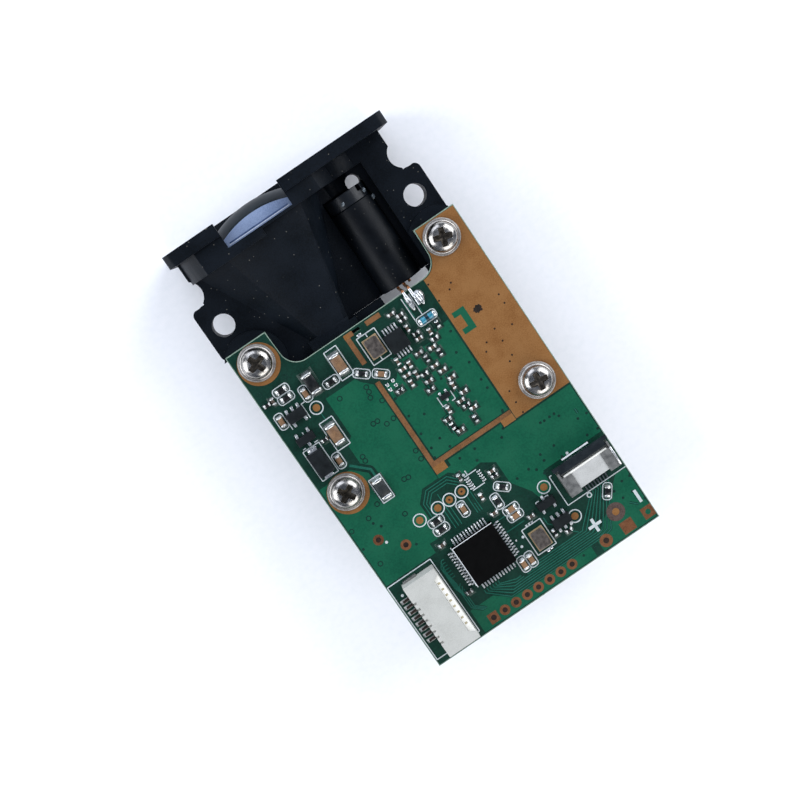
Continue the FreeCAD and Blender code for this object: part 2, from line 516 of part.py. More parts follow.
# ---- Laser pieces ----
def save_laser():
    """The collimator barrel, its lens, cell and ring, and the laser diode with its leads."""
    base_front = LASER_REAR + DIODE_BASE_THICK
    cap_front = base_front + DIODE_CAP_LENGTH
    tube_front = LASER_FRONT
    barrel = along_y(LASER_X, AXIS_HEIGHT, LASER_REAR, tube_front, LASER_BARREL_RADIUS)
    barrel = barrel.cut(along_y(LASER_X, AXIS_HEIGHT, LASER_REAR, tube_front, LASER_BORE_RADIUS))
    barrel = barrel.cut(along_y(LASER_X, AXIS_HEIGHT, LASER_REAR, base_front, DIODE_BASE_RADIUS))
    save("laser_barrel", barrel)

    cell_front = tube_front + CELL_LENGTH
    cell = along_y(LASER_X, AXIS_HEIGHT, tube_front, cell_front, CELL_RADIUS)
    cell = cell.cut(along_y(LASER_X, AXIS_HEIGHT, tube_front, cell_front, COLLIMATOR_RADIUS))
    half_slot = CELL_SLOT_WIDTH / 2
    for angle in (45, 225):
        slot = box(COLLIMATOR_RADIUS - EPSILON, CELL_RADIUS + EPSILON, cell_front - CELL_SLOT_WIDTH,
                   cell_front + EPSILON, -half_slot, half_slot)
        slot.rotate(Vector(0, 0, 0), Vector(0, -1, 0), angle)
        slot.translate(Vector(LASER_X, 0, AXIS_HEIGHT))
        cell = cell.cut(slot)
    save("collimator_cell", cell)

    lens = along_y(LASER_X, AXIS_HEIGHT, tube_front, tube_front + COLLIMATOR_THICK, COLLIMATOR_RADIUS)
    ball_y = tube_front + COLLIMATOR_THICK - COLLIMATOR_CURVE_RADIUS
    ball = Part.makeSphere(COLLIMATOR_CURVE_RADIUS, Vector(LASER_X, ball_y, AXIS_HEIGHT))
    save("collimating_lens", lens.common(ball))

    ring = along_y(LASER_X, AXIS_HEIGHT, cell_front - RING_THICK, cell_front, COLLIMATOR_RADIUS)
    ring = ring.cut(along_y(LASER_X, AXIS_HEIGHT, cell_front - RING_THICK, cell_front,
                            COLLIMATOR_RADIUS - RING_WALL))
    save("collimator_ring", ring)

    save("laser_diode_base", along_y(LASER_X, AXIS_HEIGHT, LASER_REAR, base_front, DIODE_BASE_RADIUS))
    cap = along_y(LASER_X, AXIS_HEIGHT, base_front, cap_front, DIODE_CAP_RADIUS)
    cap = cap.cut(along_y(LASER_X, AXIS_HEIGHT, base_front, cap_front, DIODE_WINDOW_RADIUS))
    save("laser_diode_cap", cap)
    save("laser_diode_window", along_y(LASER_X, AXIS_HEIGHT, cap_front - DIODE_WINDOW_THICK, cap_front,
                                       DIODE_WINDOW_RADIUS))

    lead_y = CUTOUT_Y + LEAD_RISE_AHEAD
    lead_z = BOARD_TOP + PAD_LIFT + LEAD_RADIUS
    leads = []
    joints = []
    for x, z in ((LASER_X - DIODE_PIN_CIRCLE, AXIS_HEIGHT), (LASER_X, AXIS_HEIGHT + DIODE_PIN_CIRCLE)):
        points = [Vector(x, LASER_REAR, z), Vector(x, lead_y, z), Vector(x, lead_y, lead_z),
                  Vector(x, CUTOUT_Y - LEAD_FOOT_LENGTH, lead_z)]
        leads.append(swept_wire(points, LEAD_RADIUS, LEAD_BEND))
        joint = along_y(x, BOARD_TOP + SOLDER_LIFT, CUTOUT_Y - SOLDER_LENGTH, CUTOUT_Y - EPSILON,
                        SOLDER_RADIUS)
        joint = joint.common(box(-MODULE_WIDTH, MODULE_WIDTH, REAR_Y, FRONT_Y, BOARD_TOP, MODULE_HEIGHT))
        joints.append(joint)
    spare = along_y(LASER_X + DIODE_PIN_CIRCLE, AXIS_HEIGHT, LASER_REAR - DIODE_SPARE_PIN_LENGTH, LASER_REAR,
                    LEAD_RADIUS)
    save("laser_diode_leads", group(leads + [spare]))
    save("laser_lead_solder", group([joint.cut(group(leads)) for joint in joints]))


# ---- Circuit board ----
TEST_HOLES = [(3.15, 20.9), (6.1, 18.0)]
SUPPLY_FROM_RIGHT = [8.55, 1.0]


def circuit_board():
    """The bare board with its cut-out for the optics and its plated holes."""
    left = BOARD_LEFT + CUTOUT_LEFT
    right = BOARD_RIGHT - CUTOUT_RIGHT
    corners = [(BOARD_LEFT, REAR_Y, 0), (BOARD_RIGHT, REAR_Y, 0), (BOARD_RIGHT, BOARD_FRONT, 0),
               (right, BOARD_FRONT, 0), (right, CUTOUT_Y, CUTOUT_CORNER), (left, CUTOUT_Y, CUTOUT_CORNER),
               (left, BOARD_FRONT, 0), (BOARD_LEFT, BOARD_FRONT, 0)]
    board = slab(corners, BOARD_UNDER, BOARD_TOP)
    holes = []
    for x, y, _ in SCREW_PLACES:
        holes.append((x, y, SCREW_RADIUS + SCREW_HOLE_CLEARANCE))
    for i in range(HEADER_COUNT):
        x = BOARD_LEFT + HEADER_FIRST + i * HEADER_PITCH
        holes.append((x, REAR_Y + HEADER_SETBACK, HEADER_HOLE_RADIUS))
    for offset in SUPPLY_FROM_RIGHT:
        holes.append((BOARD_RIGHT - offset, REAR_Y + SUPPLY_SETBACK, SUPPLY_HOLE_RADIUS))
    for u, v in TEST_HOLES:
        holes.append((BOARD_LEFT + u, REAR_Y + v, TEST_HOLE_RADIUS))
    cuts = [upright(x, y, BOARD_UNDER - EPSILON, radius, BOARD_THICK + 2 * EPSILON) for x, y, radius in holes]
    slot_x = RECEIVER_X + SLOT_FROM_RECEIVER
    slot_front = CUTOUT_Y - SLOT_SETBACK
    cuts.append(box(slot_x - SLOT_LENGTH / 2, slot_x + SLOT_LENGTH / 2, slot_front - SLOT_WIDTH,
                    slot_front, BOARD_UNDER - EPSILON, BOARD_TOP + EPSILON))
    return board.cut(cuts)


def mounting_screw(x, y):
    """A pan-head screw with a cross recess, its head on the washer."""
    seat = BOARD_TOP + PAD_LIFT + WASHER_THICK
    shank = upright(x, y, BOARD_TOP - SCREW_LENGTH, SCREW_RADIUS, seat - BOARD_TOP + SCREW_LENGTH)
    rim_dome_radius = (SCREW_HEAD_RADIUS ** 2 + SCREW_HEAD_HEIGHT ** 2) / (2 * SCREW_HEAD_HEIGHT)
    dome_radius = rim_dome_radius * HEAD_DOME_FLATNESS
    head = upright(x, y, seat, SCREW_HEAD_RADIUS, SCREW_HEAD_HEIGHT)
    dome = Part.makeSphere(dome_radius, Vector(x, y, seat + SCREW_HEAD_HEIGHT - dome_radius))
    head = head.common(dome)
    long = RECESS_LENGTH / 2
    narrow = RECESS_WIDTH / 2
    top = seat + SCREW_HEAD_HEIGHT
    recess = box(x - long, x + long, y - narrow, y + narrow, top - RECESS_DEPTH, top + EPSILON)
    crossing = box(x - narrow, x + narrow, y - long, y + long, top - RECESS_DEPTH, top + EPSILON)
    return fused([shank, head]).cut([recess, crossing])


def washer(x, y):
    """A flat washer under a screw's head."""
    disc = upright(x, y, BOARD_TOP + PAD_LIFT, WASHER_RADIUS, WASHER_THICK)
    return disc.cut(upright(x, y, BOARD_TOP, SCREW_RADIUS + PILOT_CLEARANCE, 2 * WASHER_THICK))


def save_board():
    """The board and what fastens it."""
    save("circuit_board", circuit_board())
    save("mounting_screws", group([mounting_screw(x, y) for x, y, _ in SCREW_PLACES]))
    save("screw_washers", group([washer(x, y) for x, y, _ in SCREW_PLACES]))


# ---- Chip parts: (u, v, turn) on the board, measured from its rear left corner ----
CHIP_0402 = (1.0, 0.5, 0.4, 0.22)        # length, width, height, end-cap length
CHIP_0603 = (1.6, 0.8, 0.5, 0.35)
CHIP_1206 = (3.2, 1.6, 0.9, 0.55)

CAPACITORS_0402 = [
    (2.1, 46.4, 90), (23.2, 47.2, 0), (24.2, 46.4, 0), (24.0, 44.2, 90), (24.65, 42.05, 0),
    (26.45, 42.0, 90), (20.15, 41.0, 90), (20.2, 39.7, 0), (20.2, 38.6, 0), (20.1, 37.3, 90),
    (21.4, 39.7, 90), (21.4, 37.95, 90), (22.4, 36.1, 0), (23.4, 40.3, 0), (25.5, 39.9, 0),
    (24.3, 37.5, 0), (24.9, 36.3, 0), (25.4, 34.7, 0), (24.9, 33.6, 90), (25.7, 32.0, 0),
    (24.6, 31.1, 0), (25.6, 29.25, 0), (21.5, 29.9, 0), (22.4, 31.0, 90), (22.2, 27.5, 0),
    (10.45, 14.95, 0), (18.1, 21.8, 90), (19.2, 17.6, 90), (22.55, 19.9, 0), (19.4, 14.5, 0),
    (23.65, 11.0, 0), (9.85, 6.8, 0),
]
RESISTORS_0402 = [
    (1.1, 46.4, 0), (24.2, 45.6, 0), (24.65, 42.9, 0), (28.0, 42.3, 90), (26.5, 40.8, 0),
    (5.1, 37.6, 0), (18.1, 37.3, 0), (21.9, 34.9, 0), (22.4, 37.3, 0), (23.9, 39.0, 90),
    (26.0, 38.7, 90), (24.9, 30.1, 0), (24.9, 27.7, 90), (21.5, 28.7, 90), (22.55, 19.1, 0),
    (25.15, 6.9, 90), (27.1, 6.0, 0),
]
CAPACITORS_0603 = [
    (6.6, 44.7, 90), (1.45, 43.3, 90), (5.1, 33.9, 90), (17.2, 40.9, -40), (16.0, 17.6, 90),
    (21.8, 13.6, 0), (21.8, 12.4, 0), (18.8, 5.6, 90), (20.1, 5.6, 90),
]
RESISTORS_0603 = [
    (3.95, 47.05, 0), (3.95, 45.75, 0), (10.6, 44.0, 0), (14.9, 42.5, -40), (11.7, 18.35, 0),
    (11.7, 16.95, 0), (22.55, 17.1, -40), (20.75, 15.7, 90), (35.0, 7.6, 55),
]
CAPACITORS_1206 = [(13.0, 45.6, 90), (6.8, 37.5, 90)]
BEADS_1206 = [(8.15, 45.5, 90), (7.9, 27.0, 90)]


def chip_body(size):
    """The middle of a chip part, centred on its own origin."""
    length, width, height, cap = size
    return box(cap - length / 2, length / 2 - cap, -width / 2, width / 2, 0, height)


def chip_caps(size):
    """The two metal ends of a chip part."""
    length, width, height, cap = size
    ends = []
    for start in (-length / 2, length / 2 - cap):
        ends.append(box(start, start + cap, -width / 2, width / 2, 0, height))
    return ends


def save_chips():
    """All chip capacitors, resistors and beads, each kind in one node, and their metal ends."""
    kinds = [
        ("capacitor_bodies_0402", CHIP_0402, CAPACITORS_0402),
        ("resistor_bodies_0402", CHIP_0402, RESISTORS_0402),
        ("capacitor_bodies_0603", CHIP_0603, CAPACITORS_0603),
        ("resistor_bodies_0603", CHIP_0603, RESISTORS_0603),
        ("capacitor_bodies_1206", CHIP_1206, CAPACITORS_1206),
        ("bead_bodies_1206", CHIP_1206, BEADS_1206),
    ]
    ends = {CHIP_0402: [], CHIP_0603: [], CHIP_1206: []}
    for name, size, places in kinds:
        save(name, group([on_board(chip_body(size), u, v, turn) for u, v, turn in places]))
        for u, v, turn in places:
            ends[size].extend(on_board(end, u, v, turn) for end in chip_caps(size))
    save("chip_ends_0402", group(ends[CHIP_0402]))
    save("chip_ends_0603", group(ends[CHIP_0603]))
    save("chip_ends_1206", group(ends[CHIP_1206]))


# ---- Packaged parts ----
def gull_lead(width, reach, height, thick, foot):
    """One gull-wing lead, leaving a body's face at x = 0 and standing on the board at x = reach."""
    points = [(0, height), (reach - foot, height), (reach - foot, thick), (reach, thick), (reach, 0),
              (reach - foot - thick, 0), (reach - foot - thick, height - thick), (0, height - thick)]
    face = polygon([Vector(x, -width / 2, z) for x, z in points])
    return face.extrude(Vector(0, width, 0))


def lead_rows(half_body, offsets, turns, lead):
    """Copies of a lead along the sides of a body; turns picks the sides, offsets the places on each."""
    leads = []
    for turn in turns:
        for offset in offsets:
            copy = lead.copy()
            copy.translate(Vector(half_body, offset, 0))
            copy.rotate(Vector(0, 0, 0), Vector(0, 0, 1), turn)
            leads.append(copy)
    return leads


def moulded_body(length, width, height, standoff, draft):
    """A moulded package on its standoff: an upright lower half, and an upper half tapered by draft."""
    middle = standoff + (height - standoff) / 2
    lower = box(-length / 2, length / 2, -width / 2, width / 2, standoff, middle)
    rings = []
    for inset, z in ((0, middle), (draft, height)):
        half_length = length / 2 - inset
        half_width = width / 2 - inset
        ring = [Vector(-half_length, -half_width, z), Vector(half_length, -half_width, z),
                Vector(half_length, half_width, z), Vector(-half_length, half_width, z)]
        rings.append(Part.makePolygon(ring + [ring[0]]))
    return fused([lower, Part.makeLoft(rings, True)])


MICRO_PLACE = (14.8, 10.45)
MICRO_BODY = 7.0
MICRO_HEIGHT = 1.5
MICRO_PITCH = 0.5
MICRO_LEADS_PER_SIDE = 12
MICRO_LEAD = (0.22, 1.0, 0.85, 0.13, 0.5)         # width, reach, height, thickness, foot
BODY_STANDOFF = 0.1
BODY_DRAFT = 0.12
SMALL_STANDOFF = 0.05
SMALL_DRAFT = 0.1
AMPLIFIER_PLACE = (21.8, 43.6)
AMPLIFIER_BODY = 3.0
AMPLIFIER_HEIGHT = 1.0
AMPLIFIER_LEADS_PER_SIDE = 5
AMPLIFIER_LEAD = (0.22, 0.95, 0.6, 0.15, 0.5)
CRYSTAL_PLACES = [(18.6, 44.7, 0), (22.95, 7.5, 0)]
CRYSTAL_LENGTH = 3.2
CRYSTAL_WIDTH = 2.4
CRYSTAL_BASE_HEIGHT = 0.4
CRYSTAL_LID_HEIGHT = 0.45
CRYSTAL_LID_INSET = 0.15
CRYSTAL_LID_CORNER = 0.4
SOT_BODY = (2.9, 1.3, 1.0)                        # length, width, height
SOT_LEAD = (0.4, 0.65, 0.55, 0.14, 0.35)
SOT_LEAD_PITCH = 0.95
SOT_WIDE_EXTRA = 0.3                              # width of the five- and six-lead body, over SOT_BODY's
SMALL_BODY = (1.6, 0.8, 0.8)
SMALL_LEAD = (0.3, 0.45, 0.4, 0.12, 0.25)
SMALL_LEAD_PITCH = 0.5
REGULATOR_PLACE = (3.75, 42.9, 0)
INTERFACE_PLACE = (27.0, 7.9, 0)
TRANSISTOR_PLACES = [(2.95, 39.3, 180), (26.5, 11.4, 0)]
SMALL_TRANSISTOR_PLACE = (23.05, 33.0, 0)
DIODE_PLACE = (2.75, 35.2)
DIODE_BODY = (2.5, 3.9, 1.6)
DIODE_TAB = (1.4, 0.6, 0.9, 0.15, 0.35)
GLASS_DIODE_PLACE = (27.2, 43.9)
GLASS_DIODE_RADIUS = 0.5
GLASS_DIODE_LENGTH = 2.0
GLASS_DIODE_END = 0.4


def centred(offsets_count, pitch):
    """Evenly spaced places about zero."""
    return [(i - (offsets_count - 1) / 2) * pitch for i in range(offsets_count)]


def save_microcontroller():
    """The square processor package with leads on four sides."""
    u, v = MICRO_PLACE
    body = moulded_body(MICRO_BODY, MICRO_BODY, MICRO_HEIGHT, BODY_STANDOFF, BODY_DRAFT)
    save("microcontroller_body", on_board(body, u, v))
    offsets = centred(MICRO_LEADS_PER_SIDE, MICRO_PITCH)
    leads = lead_rows(MICRO_BODY / 2, offsets, (0, 90, 180, 270), gull_lead(*MICRO_LEAD))
    save("microcontroller_leads", group([on_board(lead, u, v) for lead in leads]))


def save_amplifier():
    """The ten-lead amplifier beside the laser's leads."""
    u, v = AMPLIFIER_PLACE
    body = moulded_body(AMPLIFIER_BODY, AMPLIFIER_BODY, AMPLIFIER_HEIGHT, BODY_STANDOFF, SMALL_DRAFT)
    save("amplifier_body", on_board(body, u, v))
    offsets = centred(AMPLIFIER_LEADS_PER_SIDE, MICRO_PITCH)
    leads = lead_rows(AMPLIFIER_BODY / 2, offsets, (90, 270), gull_lead(*AMPLIFIER_LEAD))
    save("amplifier_leads", group([on_board(lead, u, v) for lead in leads]))


def save_small_packages():
    """Regulator, interface chip and transistors in small moulded bodies with stub leads."""
    length, width, height = SOT_BODY
    wide = width + SOT_WIDE_EXTRA
    lead = gull_lead(*SOT_LEAD)
    body = moulded_body(length, wide, height, SMALL_STANDOFF, SMALL_DRAFT)
    three = centred(3, SOT_LEAD_PITCH)
    two = [three[0], three[-1]]
    u, v, turn = REGULATOR_PLACE
    save("regulator_body", on_board(body, u, v, turn))
    leads = lead_rows(wide / 2, three, (90,), lead) + lead_rows(wide / 2, two, (270,), lead)
    save("regulator_leads", group([on_board(each, u, v, turn) for each in leads]))
    u, v, turn = INTERFACE_PLACE
    save("interface_chip_body", on_board(body, u, v, turn))
    leads = lead_rows(wide / 2, three, (90, 270), lead)
    save("interface_chip_leads", group([on_board(each, u, v, turn) for each in leads]))
    slim = moulded_body(length, width, height, SMALL_STANDOFF, SMALL_DRAFT)
    slim_leads = lead_rows(width / 2, two, (270,), lead) + lead_rows(width / 2, [0], (90,), lead)
    bodies = []
    leads = []
    for u, v, turn in TRANSISTOR_PLACES:
        bodies.append(on_board(slim, u, v, turn))
        leads.extend(on_board(each, u, v, turn) for each in slim_leads)
    u, v, turn = SMALL_TRANSISTOR_PLACE
    bodies.append(on_board(moulded_body(*SMALL_BODY, SMALL_STANDOFF, SMALL_DRAFT), u, v, turn))
    small_lead = gull_lead(*SMALL_LEAD)
    half = SMALL_BODY[1] / 2
    small = lead_rows(half, [-SMALL_LEAD_PITCH, SMALL_LEAD_PITCH], (90,), small_lead)
    small += lead_rows(half, [0], (270,), small_lead)
    leads.extend(on_board(each, u, v, turn) for each in small)
    save("transistor_bodies", group(bodies))
    save("transistor_leads", group(leads))


def save_crystals():
    """Two ceramic bases with metal lids."""
    half_w = CRYSTAL_WIDTH / 2
    half_l = CRYSTAL_LENGTH / 2
    lid_w = half_w - CRYSTAL_LID_INSET
    lid_l = half_l - CRYSTAL_LID_INSET
    lid_top = CRYSTAL_BASE_HEIGHT + CRYSTAL_LID_HEIGHT
    bases = []
    lids = []
    for u, v, turn in CRYSTAL_PLACES:
        bases.append(on_board(box(-half_w, half_w, -half_l, half_l, 0, CRYSTAL_BASE_HEIGHT), u, v, turn))
        lid = rounded_block(-lid_w, lid_w, -lid_l, lid_l, CRYSTAL_BASE_HEIGHT, lid_top, CRYSTAL_LID_CORNER)
        lids.append(on_board(lid, u, v, turn))
    save("crystal_bases", group(bases))
    save("crystal_lids", group(lids))


def lying_along_x(x0, x1, radius):
    """A cylinder from x0 to x1 that lies on the board."""
    return Part.makeCylinder(radius, x1 - x0, Vector(x0, 0, radius), Vector(1, 0, 0))


def save_diodes():
    """The moulded power diode with its two tabs, and the small glass diode with its metal ends."""
    u, v = DIODE_PLACE
    save("power_diode_body", on_board(moulded_body(*DIODE_BODY, BODY_STANDOFF, BODY_DRAFT), u, v))
    tabs = lead_rows(DIODE_BODY[1] / 2, [0], (90, 270), gull_lead(*DIODE_TAB))
    save("power_diode_tabs", group([on_board(each, u, v) for each in tabs]))
    u, v = GLASS_DIODE_PLACE
    half = GLASS_DIODE_LENGTH / 2
    save("glass_diode_body", on_board(lying_along_x(-half, half, GLASS_DIODE_RADIUS), u, v))
    ends = []
    for x in (-half - GLASS_DIODE_END, half):
        ends.append(on_board(lying_along_x(x, x + GLASS_DIODE_END, GLASS_DIODE_RADIUS), u, v))
    save("glass_diode_ends", group(ends))


# ---- Wire connector ----
WIRE_WAYS = 8
WIRE_PITCH = 1.0
WIRE_LEFT = 2.2
WIRE_DEPTH = 5.4
WIRE_REAR = 1.05
WIRE_LENGTH = 12.4
WIRE_HEIGHT = 2.9
WIRE_WALL = 0.5
WIRE_MOUTH_DEPTH = 3.2
WIRE_MOUTH_LENGTH = 10.0
WIRE_RELIEF = 1.0
WIRE_FIRST_TAIL = 4.1
WIRE_TAIL_REACH = 1.4
WIRE_TAIL_THICK = 0.2
WIRE_PIN_HALF = 0.15
WIRE_PIN_SETBACK = 0.2        # pins' tips, behind the relief
WIRE_NOTCH_FROM = 0.7         # notch beside each tail, from the tail's middle
WIRE_NOTCH_TO = 0.35
WIRE_TAB_FROM = 0.4           # solder tab, from the shell's left side
WIRE_TAB_TO = 2.6
WIRE_TAB_THICK = 0.35
WIRE_TAB_HEIGHT = 0.8


def save_wire_connector():
    """The wire-to-board header: its shell, its contacts and its two solder tabs."""
    middle = WIRE_REAR + WIRE_LENGTH / 2
    half = WIRE_MOUTH_LENGTH / 2
    right = WIRE_LEFT + WIRE_DEPTH
    shell = box(WIRE_LEFT, right, WIRE_REAR, WIRE_REAR + WIRE_LENGTH, 0, WIRE_HEIGHT)
    mouth = box(right - WIRE_MOUTH_DEPTH, right + EPSILON, middle - half, middle + half, WIRE_WALL,
                WIRE_HEIGHT - WIRE_WALL)
    corners = [Vector(right - WIRE_RELIEF, middle - half + WIRE_RELIEF / 2, WIRE_HEIGHT - WIRE_WALL),
               Vector(right + EPSILON, middle - half - EPSILON, WIRE_HEIGHT - WIRE_WALL),
               Vector(right + EPSILON, middle + half + EPSILON, WIRE_HEIGHT - WIRE_WALL),
               Vector(right - WIRE_RELIEF, middle + half - WIRE_RELIEF / 2, WIRE_HEIGHT - WIRE_WALL)]
    relief = polygon(corners).extrude(Vector(0, 0, WIRE_WALL + EPSILON))
    shell = shell.cut([mouth, relief])
    contacts = []
    for i in range(WIRE_WAYS):
        v = WIRE_FIRST_TAIL + i * WIRE_PITCH
        notch = box(WIRE_LEFT - EPSILON, WIRE_LEFT + EPSILON, v - WIRE_NOTCH_FROM, v - WIRE_NOTCH_TO,
                    0, WIRE_HEIGHT + EPSILON)
        shell = shell.cut(notch)
        tail = box(WIRE_LEFT - WIRE_TAIL_REACH, WIRE_LEFT, v - WIRE_PIN_HALF, v + WIRE_PIN_HALF,
                   0, WIRE_TAIL_THICK)
        pin = box(right - WIRE_MOUTH_DEPTH, right - WIRE_RELIEF - WIRE_PIN_SETBACK, v - WIRE_PIN_HALF,
                  v + WIRE_PIN_HALF, WIRE_HEIGHT / 2 - WIRE_PIN_HALF, WIRE_HEIGHT / 2 + WIRE_PIN_HALF)
        contacts.extend([tail, pin])
    save("wire_connector_shell", on_board(shell, 0, 0))
    save("wire_connector_contacts", group([on_board(each, 0, 0) for each in contacts]))
    tabs = []
    for v0 in (WIRE_REAR - WIRE_TAB_THICK, WIRE_REAR + WIRE_LENGTH):
        tab = box(WIRE_LEFT + WIRE_TAB_FROM, WIRE_LEFT + WIRE_TAB_TO, v0, v0 + WIRE_TAB_THICK,
                  0, WIRE_TAB_HEIGHT)
        tabs.append(on_board(tab, 0, 0))
    save("wire_connector_tabs", group(tabs))


# ---- Flat-cable connector with its flip lock ----
FLEX_WAYS = 8
FLEX_PITCH = 0.5
FLEX_MIDDLE = BOARD_WIDTH - 4.95
FLEX_HOUSING_LENGTH = 8.2
FLEX_REAR = 10.3
FLEX_FRONT = 14.6
FLEX_HEIGHT = 2.0
LEVER_LENGTH = 9.4
LEVER_REAR = 13.75
LEVER_FRONT = 15.3
LEVER_THICK = 0.7
LEVER_PIVOT_RADIUS = 0.3
LEVER_CLEARANCE = 0.06
LEVER_ARM_GAP = 0.1           # lever's bar, ahead of the housing's tray
LEVER_FLAP_INSET = 0.1        # lever's flap, inside the housing's sides
LEVER_SHAFT_INSET = 0.3       # shaft's ends, inside the lever's
LUG_WIDTH = 1.6
LUG_THICK = 0.15
LUG_CHEEK_THICK = 0.3
LUG_CHEEK_SETBACK = 0.2       # cheek's front end, behind the tray's
LUG_CHEEK_OVER_PIVOT = 0.55
LUG_CLEARANCE = 0.02
TRAY_HEIGHT = 0.6
HOUSING_SETBACK = 0.4         # housing's rear face, ahead of the lugs'
HOUSING_LEVER_GAP = 0.35
FLEX_MOUTH_DEPTH = 2.2
FLEX_MOUTH_HEIGHT = 0.35
FLEX_MOUTH_INSET = 0.2
FLEX_TAIL_LENGTH = 1.0
FLEX_TAIL_HALF = 0.1
FLEX_TAIL_THICK = 0.2


def lever_pivot():
    """The flip lock's hinge line, as its distance from the board's rear edge and its height."""
    return LEVER_REAR + LEVER_PIVOT_RADIUS, FLEX_HEIGHT - LEVER_THICK / 2


def flex_housing():
    """The white body: a tray under the lever, and a higher block with the cable's mouth behind it."""
    half = FLEX_HOUSING_LENGTH / 2
    rear = FLEX_REAR + HOUSING_SETBACK
    low = box(FLEX_MIDDLE - half, FLEX_MIDDLE + half, rear, FLEX_FRONT, 0, TRAY_HEIGHT)
    high = box(FLEX_MIDDLE - half, FLEX_MIDDLE + half, rear, LEVER_REAR - HOUSING_LEVER_GAP,
               TRAY_HEIGHT, FLEX_HEIGHT)
    mouth_half = half - LUG_WIDTH - FLEX_MOUTH_INSET
    mouth = box(FLEX_MIDDLE - mouth_half, FLEX_MIDDLE + mouth_half, LEVER_REAR - FLEX_MOUTH_DEPTH,
                FLEX_FRONT + EPSILON, TRAY_HEIGHT, TRAY_HEIGHT + FLEX_MOUTH_HEIGHT)
    return fused([low, high]).cut(mouth)


def flex_lug(side):
    """One hold-down lug, with the hole that the lever turns in; side is -1 or 1."""
    pivot_v, pivot_z = lever_pivot()
    half = FLEX_HOUSING_LENGTH / 2
    outer = FLEX_MIDDLE + side * (half + LUG_CLEARANCE)
    inner = outer + side * LUG_CHEEK_THICK
    low_u, high_u = min(outer, inner), max(outer, inner)
    strap_front = LEVER_REAR - HOUSING_LEVER_GAP
    strap_top = FLEX_HEIGHT + LUG_THICK
    cheek = box(low_u, high_u, FLEX_REAR, FLEX_FRONT - LUG_CHEEK_SETBACK, 0, pivot_z + LUG_CHEEK_OVER_PIVOT)
    rise = box(low_u, high_u, FLEX_REAR, strap_front, 0, strap_top)
    strap_inner = FLEX_MIDDLE + side * (half - LUG_WIDTH)
    strap = box(min(inner, strap_inner), max(inner, strap_inner), FLEX_REAR, strap_front,
                FLEX_HEIGHT, strap_top)
    hole = Part.makeCylinder(LEVER_PIVOT_RADIUS + LEVER_CLEARANCE, high_u - low_u + 2 * EPSILON,
                             Vector(low_u - EPSILON, pivot_v, pivot_z), Vector(1, 0, 0))
    return fused([cheek, strap, rise]).cut(hole)


def flex_lever():
    """The black flip lock: its shaft, its flap over the tray and the bar along its free edge."""
    pivot_v, pivot_z = lever_pivot()
    flap_half = FLEX_HOUSING_LENGTH / 2 - LEVER_FLAP_INSET
    arm = LEVER_LENGTH / 2
    low = pivot_z - LEVER_PIVOT_RADIUS
    high = pivot_z + LEVER_PIVOT_RADIUS
    start = FLEX_MIDDLE - arm + LEVER_SHAFT_INSET
    shaft = Part.makeCylinder(LEVER_PIVOT_RADIUS, LEVER_LENGTH - 2 * LEVER_SHAFT_INSET,
                              Vector(start, pivot_v, pivot_z), Vector(1, 0, 0))
    flap = box(FLEX_MIDDLE - flap_half, FLEX_MIDDLE + flap_half, pivot_v, LEVER_FRONT, low, high)
    bar = box(FLEX_MIDDLE - arm, FLEX_MIDDLE + arm, FLEX_FRONT + LEVER_ARM_GAP, LEVER_FRONT, low, high)
    return fused([shaft, flap, bar])


def save_flex_connector():
    """The housing, its hold-down lugs, its contacts and the lever that clamps the flat cable."""
    save("flex_connector_housing", on_board(flex_housing(), 0, 0))
    save("flex_connector_lugs", group([on_board(flex_lug(side), 0, 0) for side in (-1, 1)]))
    contacts = []
    for offset in centred(FLEX_WAYS, FLEX_PITCH):
        u = FLEX_MIDDLE + offset
        contacts.append(on_board(box(u - FLEX_TAIL_HALF, u + FLEX_TAIL_HALF, FLEX_REAR - FLEX_TAIL_LENGTH,
                                     FLEX_REAR + HOUSING_SETBACK, 0, FLEX_TAIL_THICK), 0, 0))
    save("flex_connector_contacts", group(contacts))
    save("flex_lock_lever", on_board(flex_lever(), 0, 0))


def main():
    """Build every piece."""
    os.makedirs("parts", exist_ok=True)
    save("optical_bench", optical_bench())
    save_receiver()
    save_laser()
    save_board()
    save_chips()
    save_microcontroller()
    save_amplifier()
    save_small_packages()
    save_crystals()
    save_diodes()
    save_wire_connector()
    save_flex_connector()


main()
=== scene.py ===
"""Looks of a laser distance-measuring module: optical bench, board, parts and connectors.

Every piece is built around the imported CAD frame, in metres: +Y points out of the lenses, +Z is up
through the board. Sizes in the classes are in millimetres and are turned to metres by MM.
"""
import logging
import math
from collections.abc import Callable, Sequence
from dataclasses import dataclass, field
from enum import Enum
from functools import cache

import bmesh
import bpy
from bmesh.types import BMesh
from bpy.types import Material, Mesh, MeshPolygon, Node, NodeSocket, NodeTree, Object
from mathutils import Matrix, Vector, noise


